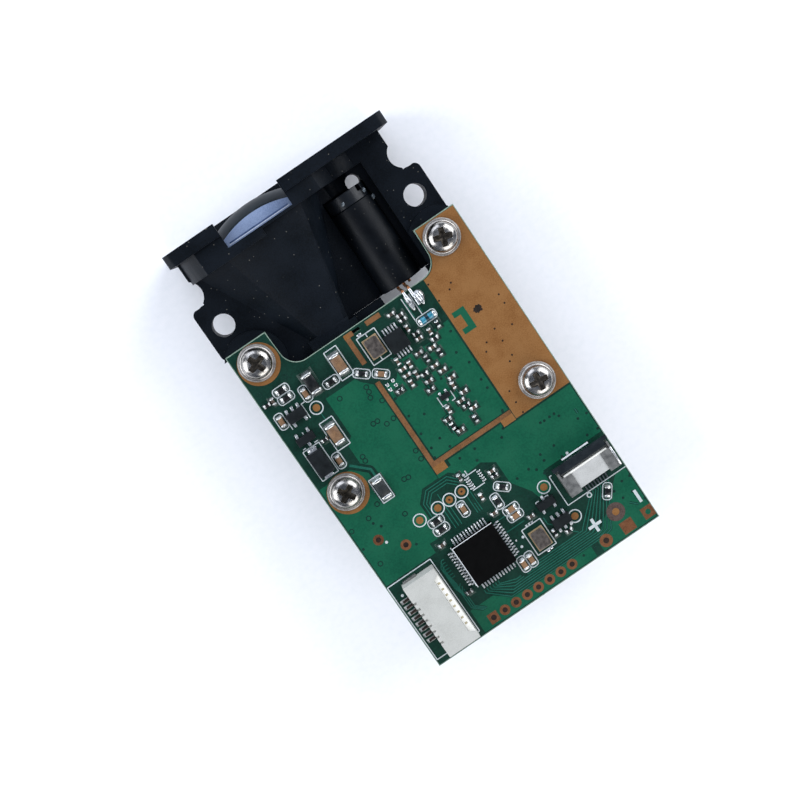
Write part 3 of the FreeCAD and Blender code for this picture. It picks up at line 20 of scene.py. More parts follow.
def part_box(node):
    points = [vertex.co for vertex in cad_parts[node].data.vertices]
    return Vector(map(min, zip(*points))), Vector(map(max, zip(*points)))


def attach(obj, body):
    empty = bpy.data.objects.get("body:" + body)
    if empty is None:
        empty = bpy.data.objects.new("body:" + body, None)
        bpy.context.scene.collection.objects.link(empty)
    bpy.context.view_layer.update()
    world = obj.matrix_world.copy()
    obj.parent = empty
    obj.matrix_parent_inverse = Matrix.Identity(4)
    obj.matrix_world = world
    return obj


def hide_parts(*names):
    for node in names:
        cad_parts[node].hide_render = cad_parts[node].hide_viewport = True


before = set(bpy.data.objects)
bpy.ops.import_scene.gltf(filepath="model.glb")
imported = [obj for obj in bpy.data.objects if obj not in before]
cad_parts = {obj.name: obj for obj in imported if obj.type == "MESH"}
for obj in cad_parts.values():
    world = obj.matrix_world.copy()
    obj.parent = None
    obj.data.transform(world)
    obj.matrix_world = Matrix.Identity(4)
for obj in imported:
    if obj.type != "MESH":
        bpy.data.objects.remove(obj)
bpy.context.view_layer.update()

LOG = logging.getLogger("module")
MM = 0.001
MERGE_MM = 0.0002  # corners nearer than this are one
STEP_MM = 0.00008  # each printed line lies this much higher than the one before, so that none share a plane
CLOUD_SHARE = 0.75  # weight of the broad patches in a colour, against 1 for the grain
DEEP_UP_TO = 0.6  # sum of both noises up to which a surface keeps its deepest colour
NOISE_RANGE = (0.3, 0.7)  # values that noise seldom leaves
SPECK_RIM = (0.05, 0.1)  # where a speck of dust starts and stops fading, as a share of their distance
SPECK_LEAST = 0.35  # draw above which a place holds a speck
QUARTER_STEPS = 8  # straight runs in each rounded inner corner of the board
Point = tuple[float, float]


class Body(Enum):
    """The bodies that pieces ride on."""

    MODULE = "module"
    LEVER = "lock_lever"


class Corner(Enum):
    """How the corners of a printed line turn, by their radius in millimetres."""

    CRISP = 0.08
    ROUND = 0.5


# ---- Nodes ----
def linear(code: str) -> tuple[float, float, float, float]:
    """Turns an sRGB hex colour to linear light.

    Args:
        code: six hex digits after a hash.

    Returns:
        Red, green, blue and an alpha of one.
    """
    parts = [int(code[i : i + 2], 16) / 255 for i in (1, 3, 5)]
    light = [p / 12.92 if p <= 0.04045 else ((p + 0.055) / 1.055) ** 2.4 for p in parts]
    return (light[0], light[1], light[2], 1.0)


def add(tree: NodeTree, kind: str, inputs: dict | None = None, stops: Sequence = (), **settings) -> Node:
    """Adds one node to a tree with its settings, its values and its links.

    Args:
        tree: the tree that gets the node.
        kind: the node's type.
        inputs: socket name or number, to a value or to another node's output.
        stops: (place, colour) of each stop, for a node with a ramp.
        **settings: the node's own properties.

    Returns:
        The node.
    """
    node = tree.nodes.new(kind)
    for key, value in settings.items():
        setattr(node, key, value)
    for i, (place, colour) in enumerate(stops):
        ramp = node.color_ramp.elements
        stop = ramp[i] if i < len(ramp) else ramp.new(place)
        stop.position = place
        stop.color = colour
    for key, value in (inputs or {}).items():
        if isinstance(value, NodeSocket):
            tree.links.new(value, node.inputs[key])
        else:
            node.inputs[key].default_value = value
    return node


def maths(tree: NodeTree, operation: str, *values: float | NodeSocket) -> NodeSocket:
    """The result of a Math node on two or three values."""
    return add(tree, "ShaderNodeMath", dict(enumerate(values)), operation=operation).outputs[0]


def patches(tree: NodeTree, place: NodeSocket, width_mm: float, detail: float) -> NodeSocket:
    """Noise whose patches have one width."""
    inputs = {"Vector": place, "Scale": 1 / (width_mm * MM), "Detail": detail}
    return add(tree, "ShaderNodeTexNoise", inputs).outputs["Fac"]


def mapped(tree: NodeTree, value: NodeSocket, start: Point, end: Point) -> NodeSocket:
    """A value carried over from one range to another."""
    limits = {"From Min": start[0], "From Max": start[1], "To Min": end[0], "To Max": end[1]}
    return add(tree, "ShaderNodeMapRange", {"Value": value, **limits}).outputs["Result"]


# ---- Finishes ----
@dataclass(frozen=True)
class Finish:
    """A surface, named for what it is and how it was made.

    Args:
        name: the material's name.
        slot: the record's material slot that it belongs to. Not used.
        deep: its colour where it is darkest.
        light: its colour where it is palest.
        roughness: its middle roughness.
        cloud_mm: width of its broad colour patches.
        grain_mm: width of its finest grain.
        relief: strength of the grain's bump, from 0 to 1.
        spread: how far the grain moves the roughness each way.
    """

    name: str
    slot: str
    deep: str
    light: str
    roughness: float = 0.5
    cloud_mm: float = 4.0
    grain_mm: float = 0.2
    relief: float = 0.2
    spread: float = 0.08

    def material(self) -> Material:
        """The finish's material, made the first time that it is asked for.

        Returns:
            The material.
        """
        known = bpy.data.materials.get(self.name)
        if known is not None:
            return known
        made = bpy.data.materials.new(self.name)
        made.use_nodes = True
        tree = made.node_tree
        shader = tree.nodes["Principled BSDF"]
        place = add(tree, "ShaderNodeTexCoord").outputs["Object"]
        self.wire(tree, shader, place)
        for socket, value in self.constants().items():
            shader.inputs[socket].default_value = value
        return made

    def wire(self, tree: NodeTree, shader: Node, place: NodeSocket) -> None:
        """Links the colour, roughness and bump that every finish has.

        Args:
            tree: the material's tree.
            shader: its surface shader.
            place: the point on the piece, in metres.
        """
        cloud = patches(tree, place, self.cloud_mm, 4.0)
        grain = patches(tree, place, self.grain_mm, 2.0)
        own = add(tree, "ShaderNodeAttribute", attribute_name="tone").outputs["Fac"]
        shade = maths(tree, "ADD", maths(tree, "MULTIPLY_ADD", cloud, CLOUD_SHARE, grain), own)
        stops = [(DEEP_UP_TO, linear(self.deep)), (1.0, linear(self.light))]
        colour = add(tree, "ShaderNodeValToRGB", {"Fac": shade}, stops)
        ends = (max(self.roughness - self.spread, 0.02), self.roughness + self.spread)
        relief = {"Height": grain, "Strength": self.relief, "Distance": self.grain_mm * MM * 0.5}
        bump = add(tree, "ShaderNodeBump", relief)
        tree.links.new(colour.outputs["Color"], shader.inputs["Base Color"])
        tree.links.new(mapped(tree, cloud, NOISE_RANGE, ends), shader.inputs["Roughness"])
        tree.links.new(bump.outputs["Normal"], shader.inputs["Normal"])

    def constants(self) -> dict[str, float]:
        """What is the same all over the surface, by the shader's socket."""
        return {"IOR": 1.5}


@dataclass(frozen=True)
class MouldedPlastic(Finish):
    """A moulded thermoplastic or epoxy, with the grain that its mould leaves.

    Args:
        ior: the resin's index of refraction.
        level: how much of its mirror light is left by the mould's fine grain, 0.5 being all.
        dust_mm: distance between the specks of dust on it, or 0 for a clean surface.
    """

    ior: float = 1.54
    level: float = 0.5
    dust_mm: float = 0.0

    def wire(self, tree: NodeTree, shader: Node, place: NodeSocket) -> None:
        """Adds pale specks of dust over the plain surface.

        Args:
            tree: the material's tree.
            shader: its surface shader.
            place: the point on the piece, in metres.
        """
        super().wire(tree, shader, place)
        if not self.dust_mm:
            return
        plain = shader.inputs["Base Color"].links[0].from_socket
        cells = add(tree, "ShaderNodeTexVoronoi", {"Vector": place, "Scale": 1 / (self.dust_mm * MM)})
        speck = mapped(tree, cells.outputs["Distance"], SPECK_RIM, (0.5, 0.0))
        pick = add(tree, "ShaderNodeSeparateColor", {"Color": cells.outputs["Color"]}).outputs[0]
        share = maths(tree, "MULTIPLY", speck, maths(tree, "GREATER_THAN", pick, SPECK_LEAST))
        dusty = add(tree, "ShaderNodeMixRGB", {"Fac": share, "Color1": plain, "Color2": linear("#8d8a80")})
        tree.links.new(dusty.outputs[0], shader.inputs["Base Color"])

    def constants(self) -> dict[str, float]:
        """The resin's index and how much it mirrors."""
        return {"IOR": self.ior, "Specular IOR Level": self.level}


@dataclass(frozen=True)
class Metal(Finish):
    """A bare, plated or soldered metal."""

    def constants(self) -> dict[str, float]:
        """A metal throughout."""
        return {"Metallic": 1.0}


@dataclass(frozen=True)
class Lacquer(Finish):
    """A coloured layer under its own clear gloss, such as solder mask or ink.

    Args:
        gloss: strength of the clear layer.
    """

    gloss: float = 0.18

    def constants(self) -> dict[str, float]:
        """The clear layer over the colour."""
        under = {"IOR": 1.5, "Specular IOR Level": 0.2}
        return {**under, "Coat Weight": self.gloss, "Coat Roughness": 0.18}


@dataclass(frozen=True)
class Glass(Finish):
    """Ground, coated or drawn glass.

    Args:
        ior: index of refraction.
        clear: share of the light that goes through.
        gloss: strength of the thin coating over it.
        level: how much of its own mirror light is left, 0.5 being all.
    """

    ior: float = 1.52
    clear: float = 0.5
    gloss: float = 0.3
    level: float = 0.35

    def constants(self) -> dict[str, float]:
        """How much passes through and how strong the coating is."""
        own = {"IOR": self.ior, "Transmission Weight": self.clear}
        return {**own, "Specular IOR Level": self.level, "Coat Weight": self.gloss}


# Black polycarbonate, injection moulded in a spark-eroded tool: nearly black, with a blue-grey bloom.
BENCH_BLACK = MouldedPlastic(
    "black_polycarbonate_spark_eroded", "bench_plastic", "#04070a", "#0d131a",
    0.45, 5.0, 0.16, 0.3, 0.07, 1.5, 0.125, 0.9,
)
# The same resin turned smooth for the laser's barrel: a little glossier, with long soft highlights.
BARREL_BLACK = MouldedPlastic(
    "black_polycarbonate_smooth_moulded", "black_tube", "#030406", "#0a0e13",
    0.42, 2.5, 0.12, 0.14, 0.06, 1.5, 0.13, 0.7,
)
# Anodised aluminium, turned: a shade greyer than the moulded black round it.
CELL_BLACK = MouldedPlastic(
    "black_anodised_aluminium_turned", "black_cell", "#07090c", "#12171d",
    0.36, 1.5, 0.08, 0.2, 0.05, 1.5, 0.3,
)
# Crown glass, ground on its flats and rim: frosted and pale, its blue tint a painted reflection of the sky.
LENS_GROUND = Glass(
    "crown_glass_ground_rim", "lens_glass", "#687a9c", "#8a9bba", 0.45, 6.0, 0.12, 0.15, 0.06, 1.52, 0.1, 0.3
)
# The same glass, polished, made opaque: its dark colour is painted shade, the dark housing seen through its
# faces, which mirror almost nothing.
LENS_POLISHED_PAINTED_SHADE = Glass(
    "crown_glass_coated_face", "lens_glass", "#0d1317", "#182026",
    0.35, 6.0, 0.5, 0.02, 0.02, 1.52, 0.0, 0.0, 0.02,
)
# The chamfer behind the lens, drawn as a white line of painted highlight with a dark line of painted shadow
# beside it.
CHAMFER_PAINTED_HIGHLIGHT = Glass(
    "crown_glass_chamfer", "lens_glass", "#b9c3d3", "#e8eef6", 0.3, 2.0, 0.1, 0.1, 0.05, 1.52, 0.1, 0.3
)
CHAMFER_PAINTED_SHADOW = Glass(
    "crown_glass_chamfer_image", "lens_glass", "#2c3c60", "#4a5e88", 0.3, 2.0, 0.1, 0.1, 0.05, 1.52, 0.1, 0.3
)
# Interference coating on glass: deep red by reflection.
FILTER_RED = Glass(
    "filter_glass_vacuum_coated", "filter_glass", "#3a0f1c", "#5a1b2c",
    0.1, 3.0, 0.3, 0.02, 0.04, 1.52, 0.4, 0.8,
)
# Polished cover glass: nearly clear, with a small bright glint.
WINDOW_GLASS = Glass(
    "borosilicate_window_polished", "window_glass", "#8fa0a8", "#c2cfd4",
    0.06, 2.0, 0.3, 0.02, 0.02, 1.47, 0.8, 0.2,
)
# Soft gold over nickel on the sensor and laser cans.
CAN_GOLD = Metal("gold_plated_can", "gold_plate", "#c89a45", "#e6c36f", 0.25, 1.0, 0.1, 0.1, 0.06)
# Copper wire legs, drawn and a little oxidised.
LEG_COPPER = Metal("copper_wire_drawn", "copper_lead", "#714730", "#a26e4b", 0.3, 0.6, 0.08, 0.15, 0.1)
# Tin-silver-copper solder, reflowed: bright, with soft ripples where it froze.
SOLDER = Metal("solder_reflowed", "solder", "#a3a6a8", "#e4e6e5", 0.33, 0.5, 0.12, 0.12, 0.1)
# The same solder laid by hand over the laser's legs, in a darker copy: its deep colour is painted shade for
# the hollows between bright ridges.
SOLDER_LAID_PAINTED_SHADE = Metal("solder_laid_by_hand", "solder", "#3f4142", "#d9dbda", 0.3, 0.75, 0.08, 0.08, 0.06)
# Tin over nickel, plated: pale silver, finely rippled on chip ends and smoother on lead frames.
TIN_ENDS = Metal("tin_plated_end_caps", "tin_ends", "#b9bab7", "#f4f4f0", 0.38, 0.4, 0.09, 0.15, 0.1)
TIN_LEGS = Metal("tin_plated_lead_frame", "tin_leads", "#b2b4b4", "#eff0ee", 0.36, 0.5, 0.08, 0.12, 0.08)
# Nickel-plated steel: cold-headed screws with slight plating haze and driver wear.
SCREW_NICKEL = Metal(
    "nickel_plated_steel_cold_headed", "screw_steel", "#6c6965", "#b4b0aa", 0.24, 0.8, 0.12, 0.12, 0.08
)
# Zinc plating on stamped steel: even, pale and softly dull.
WASHER_ZINC = Metal(
    "zinc_plated_steel_stamped", "washer_steel", "#96918c", "#d2cdc7", 0.44, 1.0, 0.1, 0.12, 0.05
)
# The same plating inside a screw's recess, where little light comes back out.
RECESS_PAINTED_SHADE = Metal(
    "nickel_plating_in_recess", "screw_steel", "#29261f", "#57514a", 0.45, 0.5, 0.1, 0.1, 0.06
)
# Barium titanate ceramic, fired: matte tan with a fine speckle.
CERAMIC_TAN = MouldedPlastic(
    "capacitor_ceramic_fired", "ceramic_tan", "#604328", "#83603c", 0.55, 0.7, 0.07, 0.2, 0.08, 1.6
)
# The same ceramic in the smallest case, painted darker and browner for the shade among the small parts.
CERAMIC_BROWN = MouldedPlastic(
    "capacitor_ceramic_fluxed", "ceramic_tan", "#12100d", "#4d3d2e", 0.5, 0.7, 0.07, 0.2, 0.08, 1.55
)
# Screened glaze over the resistor film: black with a slight sheen.
RESISTOR_GLAZE = MouldedPlastic(
    "resistor_glaze_screened", "resistor_black", "#070808", "#15181a", 0.36, 0.5, 0.08, 0.12, 0.08, 1.55, 0.25
)
# Sintered ferrite: dark grey and grainy.
FERRITE_GREY = MouldedPlastic(
    "ferrite_sintered", "ferrite", "#181c1d", "#2e3333", 0.5, 0.8, 0.07, 0.25, 0.08, 1.5, 0.35
)
# Epoxy moulding compound: black, matte from its silica filler, smooth where the tool was polished.
EPOXY_BLACK = MouldedPlastic(
    "epoxy_moulding_compound", "chip_epoxy", "#0a0d0e", "#181d1f", 0.5, 1.2, 0.07, 0.2, 0.07, 1.5, 0.16
)
# The processor's moulding, under its bare black label: the darkest thing on the board.
EPOXY_JET = MouldedPlastic(
    "epoxy_under_black_label", "chip_epoxy", "#020202", "#060606", 0.55, 1.2, 0.05, 0.12, 0.05, 1.5, 0.06
)
# Fired alumina under a nickel-plated lid: tan walls round a grey, faintly mottled plate.
CRYSTAL_BASE = MouldedPlastic(
    "alumina_ceramic_fired", "crystal_ceramic", "#7a6548", "#a38a64", 0.5, 0.8, 0.08, 0.15, 0.06, 1.7
)
CRYSTAL_LID = Metal(
    "kovar_lid_nickel_plated", "crystal_metal", "#564f4a", "#7f7770", 0.45, 0.5, 0.07, 0.3, 0.08
)
# Drawn glass, tinted blue by the dark die inside it.
DIODE_GLASS = Glass(
    "diode_glass_drawn", "diode_glass", "#0e4258", "#3a93ac", 0.16, 0.5, 0.1, 0.05, 0.04, 1.55, 0.1, 0.4
)
DIE_DARK = Lacquer(
    "silicon_die_behind_glass", "diode_glass", "#06161d", "#10303c", 0.2, 0.4, 0.08, 0.05, 0.04
)
# Glass-filled nylon, moulded: warm pale grey with faint flow marks.
NYLON_CREAM = MouldedPlastic(
    "nylon_natural_moulded", "connector_cream", "#aaaaa3", "#bcbcb5", 0.5, 2.5, 0.12, 0.12, 0.06, 1.53
)
# Painted light: a paler, lit copy of the same nylon, for the strip over the wire header's mouth and the flex
# socket's lip.
NYLON_PAINTED_LIT = MouldedPlastic(
    "nylon_bleached_moulded", "connector_cream", "#dcd9cd", "#f0eee6", 0.5, 1.5, 0.12, 0.1, 0.06, 1.53
)
NYLON_TAN = MouldedPlastic(
    "nylon_in_shade", "connector_cream", "#8f8465", "#b3a888", 0.6, 0.6, 0.12, 0.1, 0.06, 1.53
)
# Liquid crystal polymer, moulded: cool grey-white for the housing, black for the lever.
POLYMER_WHITE = MouldedPlastic(
    "liquid_crystal_polymer_white", "connector_white", "#a8a8a4", "#bbbbb7",
    0.45, 1.8, 0.1, 0.12, 0.06, 1.6, 0.35,
)
LEVER_BLACK = MouldedPlastic(
    "liquid_crystal_polymer_black", "lever_black", "#0a0e11", "#182025", 0.38, 1.2, 0.1, 0.2, 0.08, 1.5, 0.35
)
# Stamped nickel silver: dull mid-grey, darker where it is a thin tail in shade.
TAB_NICKEL = Metal("nickel_silver_stamped", "connector_tabs", "#7b7b78", "#939390", 0.5, 0.8, 0.1, 0.2, 0.08)
TAIL_GREY = Metal("tin_tails_in_shadow", "connector_tabs", "#3d4245", "#767b7e", 0.4, 0.5, 0.1, 0.15, 0.08)
# Green solder mask, screened and cured: darker over bare laminate, paler where copper lies beneath.
MASK_DARK = Lacquer("solder_mask_over_laminate", "board_laminate", "#07271d", "#0b3327", 0.4, 3.0, 0.3, 0.06)
MASK_POUR = Lacquer("solder_mask_over_copper", "board_laminate", "#0b4a35", "#10553c", 0.38, 3.5, 0.3, 0.06)
MASK_TRACE = Lacquer("solder_mask_over_trace", "board_laminate", "#174f40", "#1f5f4f", 0.36, 1.5, 0.2, 0.06)
# The mask sinks into each plated hole and looks nearly black there.
VIA_DARK = Lacquer("solder_mask_in_via", "board_laminate", "#0a211b", "#11332a", 0.35, 0.5, 0.1, 0.1)
# Woven glass and epoxy, sawn: pale yellow-green edge of the board.
LAMINATE_EDGE = Lacquer(
    "glass_epoxy_laminate_routed", "board_laminate", "#6d8272", "#8fa292", 0.7, 0.6, 0.1, 0.3
)
# Bare copper under a thin organic film: brown-orange and rather dull.
COPPER_BARE = Lacquer("copper_with_organic_film", "copper_lead", "#764d27", "#885f35", 0.42, 2.2, 0.18, 0.1)
COPPER_DULL = Lacquer("copper_strip_tarnished", "copper_lead", "#5f4128", "#7c5636", 0.42, 1.6, 0.15, 0.1)
HOLE_DARK = Lacquer("plated_hole_in_shadow", "copper_lead", "#15100d", "#2b1f17", 0.5, 0.5, 0.1, 0.1)
# The same copper inside and round a drilled hole: darker and redder, from the plating bath.
COPPER_PLATED = Lacquer("copper_plated_hole_land", "copper_lead", "#50321f", "#744b30", 0.36, 0.6, 0.12, 0.15)
# White epoxy ink, screen printed: slightly uneven and never quite white.
INK_WHITE = Lacquer("epoxy_ink_screened", "board_laminate", "#a4acad", "#c4cac9", 0.6, 1.0, 0.12, 0.15)
# The thick ink also serves for the painted highlights along the processor's edges.
INK_BRIGHT = Lacquer("epoxy_ink_screened_thick", "board_laminate", "#d3d9d9", "#f0f3f3", 0.6, 1.0, 0.12, 0.15)
# Marker ink, dried on the copper: brown-black and matte.
INK_BLACK = Lacquer("marker_ink_dried", "chip_epoxy", "#17130f", "#2a221b", 0.5, 0.5, 0.1, 0.15)
# Copper tinted by heat: a dull purple-brown.
LAND_BROWN = Lacquer("copper_land_heat_tinted", "copper_lead", "#3a2d29", "#554640", 0.45, 1.2, 0.15, 0.1)
# Clear glue, cured: small wet-looking beads.
GLUE_CLEAR = Glass(
    "ultraviolet_glue_cured", "bench_plastic", "#3a4248", "#7f8a92", 0.12, 0.8, 0.2, 0.1, 0.04, 1.5, 0.2, 0.6
)
# Matte white paper: an even ground that takes only soft shadows.
PAPER = Finish("matte_white_paper", "bench_plastic", "#f8f9fa", "#fdfdfe", 0.8, 60.0, 1.0, 0.02, 0.02)


# ---- Meshes ----
def merged(node: str) -> BMesh:
    """A copy of a CAD node's mesh, as closed shells with their flat faces whole.

    Args:
        node: the CAD node's name.

    Returns:
        The shape, in metres.
    """
    shape = bmesh.new()
    shape.from_mesh(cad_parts[node].data)
    bmesh.ops.remove_doubles(shape, verts=shape.verts, dist=MERGE_MM * MM)
    bmesh.ops.dissolve_limit(shape, angle_limit=math.radians(0.3), verts=shape.verts, edges=shape.edges)
    return shape


def baked(shape: BMesh, name: str, sharp: float = 35.0) -> Mesh:
    """Turns a finished shape into a mesh with soft shading between its sharp edges.

    Args:
        shape: the shape, which is freed.
        name: the mesh's name.
        sharp: the angle in degrees past which an edge stays sharp.

    Returns:
        The mesh.
    """
    mesh = bpy.data.meshes.new(name)
    shape.to_mesh(mesh)
    shape.free()
    mesh.shade_smooth()
    mesh.set_sharp_from_angle(angle=math.radians(sharp))
    return mesh


def piece(
    name: str,
    mesh: Mesh,
    finish: Finish,
    body: Body = Body.MODULE,
    stands_for: Sequence[str] = (),
    edge_mm: float = 0.0,
    steps: int = 2,
) -> Object:
    """Puts a mesh into the scene as one piece of the module.

    Args:
        name: the piece's name.
        mesh: its mesh, in place.
        finish: its surface, for a mesh with no material yet.
        body: the body that it rides on.
        stands_for: CAD nodes that it is shown instead of.
        edge_mm: width of the small bevel along its sharp edges, or 0 for none.
        steps: faces across that bevel.

    Returns:
        The piece.
    """
    made = bpy.data.objects.new(name, mesh)
    bpy.context.scene.collection.objects.link(made)
    if not [m for m in mesh.materials if m]:
        mesh.materials.clear()
        mesh.materials.append(finish.material())
    if edge_mm:
        bevel = made.modifiers.new("edges", "BEVEL")
        bevel.width = edge_mm * MM
        bevel.segments = steps
        bevel.limit_method = "ANGLE"
        bevel.angle_limit = math.radians(32)
        bevel.harden_normals = True
        bevel.use_clamp_overlap = True
    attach(made, body.value)
    if stands_for:
        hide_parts(*stands_for)
    LOG.info("%s: %d faces on %s", name, len(mesh.polygons), body.value)
    return made


def copied(
    name: str, node: str, finish: Finish, edge_mm: float, body: Body = Body.MODULE, sharp: float = 35.0
) -> Object:
    """A CAD node shown as a merged copy with softened edges.

    Args:
        name: the new piece's name.
        node: the CAD node that it stands for.
        finish: its surface.
        edge_mm: width of its bevels.
        body: the body that it rides on.
        sharp: the angle past which an unbevelled edge stays sharp.

    Returns:
        The piece.
    """
    return piece(name, baked(merged(node), name, sharp), finish, body, [node], edge_mm)


def dressed(node: str, finish: Finish) -> None:
    """Gives a CAD node that stays as it is its finish.

    Args:
        node: the CAD node's name.
        finish: its surface.
    """
    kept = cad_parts[node]
    kept.data.materials.clear()
    kept.data.materials.append(finish.material())
    LOG.info("%s: kept from the frame", node)


def two_toned(mesh: Mesh, plain: Finish, other: Finish, picked: Callable[[MeshPolygon], bool]) -> None:
    """Gives a mesh one finish, and another where its faces pass a test.

    Args:
        mesh: the mesh.
        plain: the finish of most faces.
        other: the finish of those that pass.
        picked: the test of a face.
    """
    for finish in (plain, other):
        mesh.materials.append(finish.material())
    for face in mesh.polygons:
        face.material_index = int(picked(face))


@dataclass
class Solid:
    """One separate solid of a CAD node.

    Args:
        points: its corners, in metres.
    """

    points: list[Vector]

    @property
    def low(self) -> Vector:
        """Its lowest corner."""
        return Vector(min(p[i] for p in self.points) for i in range(3))

    @property
    def high(self) -> Vector:
        """Its highest corner."""
        return Vector(max(p[i] for p in self.points) for i in range(3))

    @property
    def middle(self) -> Vector:
        """The middle of its box."""
        return (self.low + self.high) / 2


def solids(node: str) -> list[Solid]:
    """The separate solids of a CAD node, in the order of their first corners.

    Args:
        node: the CAD node's name.

    Returns:
        Its solids.
    """
    shape = merged(node)
    shape.verts.ensure_lookup_table()
    seen: set[int] = set()
    found = []
    for start in shape.verts:
        if start.index in seen:
            continue
        seen.add(start.index)
        reached = [start]
        for corner in reached:
            for edge in corner.link_edges:
                other = edge.other_vert(corner)
                if other.index not in seen:
                    seen.add(other.index)
                    reached.append(other)
        found.append(Solid([v.co.copy() for v in reached]))
    shape.free()
    return found


def band(shape: BMesh, lower: Sequence, upper: Sequence) -> None:
    """Closes the strip between two loops of corners.

    Args:
        shape: the shape that the corners are in.
        lower: the lower or outer loop, or one corner where it is a pole.
        upper: the upper or inner loop, likewise.
    """
    for i in range(max(len(lower), len(upper))):
        corners = [upper[i % len(upper)], lower[i % len(lower)]]
        corners += [lower[(i + 1) % len(lower)], upper[(i + 1) % len(upper)]]
        shape.faces.new(list(dict.fromkeys(corners)))


def prism(shape: BMesh, outline: Sequence[Vector], low: float, high: float) -> None:
    """Adds an upright prism over an outline.

    Args:
        shape: the shape that gets it.
        outline: its corners, counter-clockwise from above.
        low: height of its floor.
        high: height of its top.
    """
    top = [shape.verts.new((p[0], p[1], high)) for p in outline]
    floor = [shape.verts.new((p[0], p[1], low)) for p in outline]
    shape.faces.new(top)
    shape.faces.new(floor[::-1])
    band(shape, floor, top)


def circle(x: float, y: float, radius: float, count: int = 24) -> list[Vector]:
    """Corners of a circle, counter-clockwise from above."""
    turns = [2 * math.pi * i / count for i in range(count)]
    return [Vector((x + radius * math.cos(t), y + radius * math.sin(t), 0)) for t in turns]


def annulus(
    outer: float, inner: float, low: float, high: float, count: int = 24, square: bool = False
) -> BMesh:
    """A closed flat ring about the upright.

    Args:
        outer: its outer radius in millimetres, or half its side if square.
        inner: its inner radius.
        low: height of its floor.
        high: height of its top.
        count: faces round it, a multiple of 8 if square.
        square: whether its outside is square.

    Returns:
        The shape, in metres.
    """
    shape = bmesh.new()
    rings = []
    for radius, height in ((outer, low), (outer, high), (inner, high), (inner, low)):
        ring = circle(0, 0, radius * MM, count)
        if square and radius == outer:
            ring = [p * (radius * MM / max(abs(p.x), abs(p.y))) for p in ring]
        rings.append([shape.verts.new((p.x, p.y, height * MM)) for p in ring])
    for ring, above in zip(rings, rings[1:] + rings[:1]):
        band(shape, ring, above)
    return shape


def disc(radius: float, top: float, count: int) -> BMesh:
    """A flat disc about the upright, standing on its floor.

    Args:
        radius: its radius in millimetres.
        top: its height.
        count: sides round it.

    Returns:
        The shape, in metres.
    """
    shape = bmesh.new()
    prism(shape, circle(0, 0, radius * MM, count), 0.0, top * MM)
    return shape


def rounded_box(size: Sequence[float], edge: float, lift: float = 0.0, shift: float = 0.0) -> BMesh:
    """A block with rounded edges, standing on its floor.

    Args:
        size: its length, width and height in millimetres.
        edge: width of the rounding.
        lift: height of its floor.
        shift: how far its middle stands along its length.

    Returns:
        The shape, in metres.
    """
    shape = bmesh.new()
    bmesh.ops.create_cube(shape, size=1.0)
    for corner in shape.verts:
        x, y, z = corner.co
        corner.co = ((x * size[0] + shift) * MM, y * size[1] * MM, ((z + 0.5) * size[2] + lift) * MM)
    bmesh.ops.bevel(shape, geom=shape.edges[:], offset=edge * MM, segments=1, affect="EDGES", profile=0.5)
    return shape


def joined(shapes: Sequence[BMesh]) -> BMesh:
    """One shape out of several, which are freed.

    Args:
        shapes: the shapes.

    Returns:
        All of them as one.
    """
    whole = bmesh.new()
    for shape in shapes:
        held = bpy.data.meshes.new("held")
        shape.to_mesh(held)
        shape.free()
        whole.from_mesh(held)
        bpy.data.meshes.remove(held)
    return whole


def lathed(profile: Sequence[Point], count: int) -> BMesh:
    """A solid of revolution about an upright line, closed at both poles.

    Args:
        profile: (radius, height) in millimetres from the lower pole up.
        count: faces round it.

    Returns:
        The shape.
    """
    shape = bmesh.new()
    rings = []
    for radius, height in profile:
        ring = circle(0, 0, radius * MM, count) if radius else [Vector()]
        rings.append([shape.verts.new((p.x, p.y, height * MM)) for p in ring])
    for lower, upper in zip(rings, rings[1:]):
        band(shape, lower, upper)
    return shape


# ---- Geometry Nodes ----
def new_tree(name: str, inputs: dict[str, str]) -> tuple[NodeTree, Node]:
    """Starts a Geometry Nodes tree with named inputs.

    Args:
        name: the tree's name.
        inputs: name of each input, to the end of its socket's type.

    Returns:
        The tree and its input node.
    """
    tree = bpy.data.node_groups.new(name, "GeometryNodeTree")
    tree.interface.new_socket("Geometry", in_out="INPUT", socket_type="NodeSocketGeometry")
    for label, kind in inputs.items():
        tree.interface.new_socket(label, in_out="INPUT", socket_type="NodeSocket" + kind)
    tree.interface.new_socket("Geometry", in_out="OUTPUT", socket_type="NodeSocketGeometry")
    return tree, tree.nodes.new("NodeGroupInput")


def drawn(tree: NodeTree, reach: NodeSocket, seed: NodeSocket) -> NodeSocket:
    """A random value for each copy, as much as the reach to either side of nought."""
    ends = {2: maths(tree, "MULTIPLY", reach, -1.0), 3: reach, "Seed": seed}
    return add(tree, "FunctionNodeRandomValue", ends, data_type="FLOAT").outputs[1]


def finish_tree(tree: NodeTree, given: Node, geometry: NodeSocket) -> None:
    """Makes a tree's result real, gives it its finish and hands it out.

    Args:
        tree: the tree.
        given: its input node.
        geometry: what it has made.
    """
    real = add(tree, "GeometryNodeRealizeInstances", {"Geometry": geometry}).outputs["Geometry"]
    done = add(tree, "GeometryNodeSetMaterial", {"Geometry": real, "Material": given.outputs["Finish"]})
    add(tree, "NodeGroupOutput", {"Geometry": done.outputs["Geometry"]})


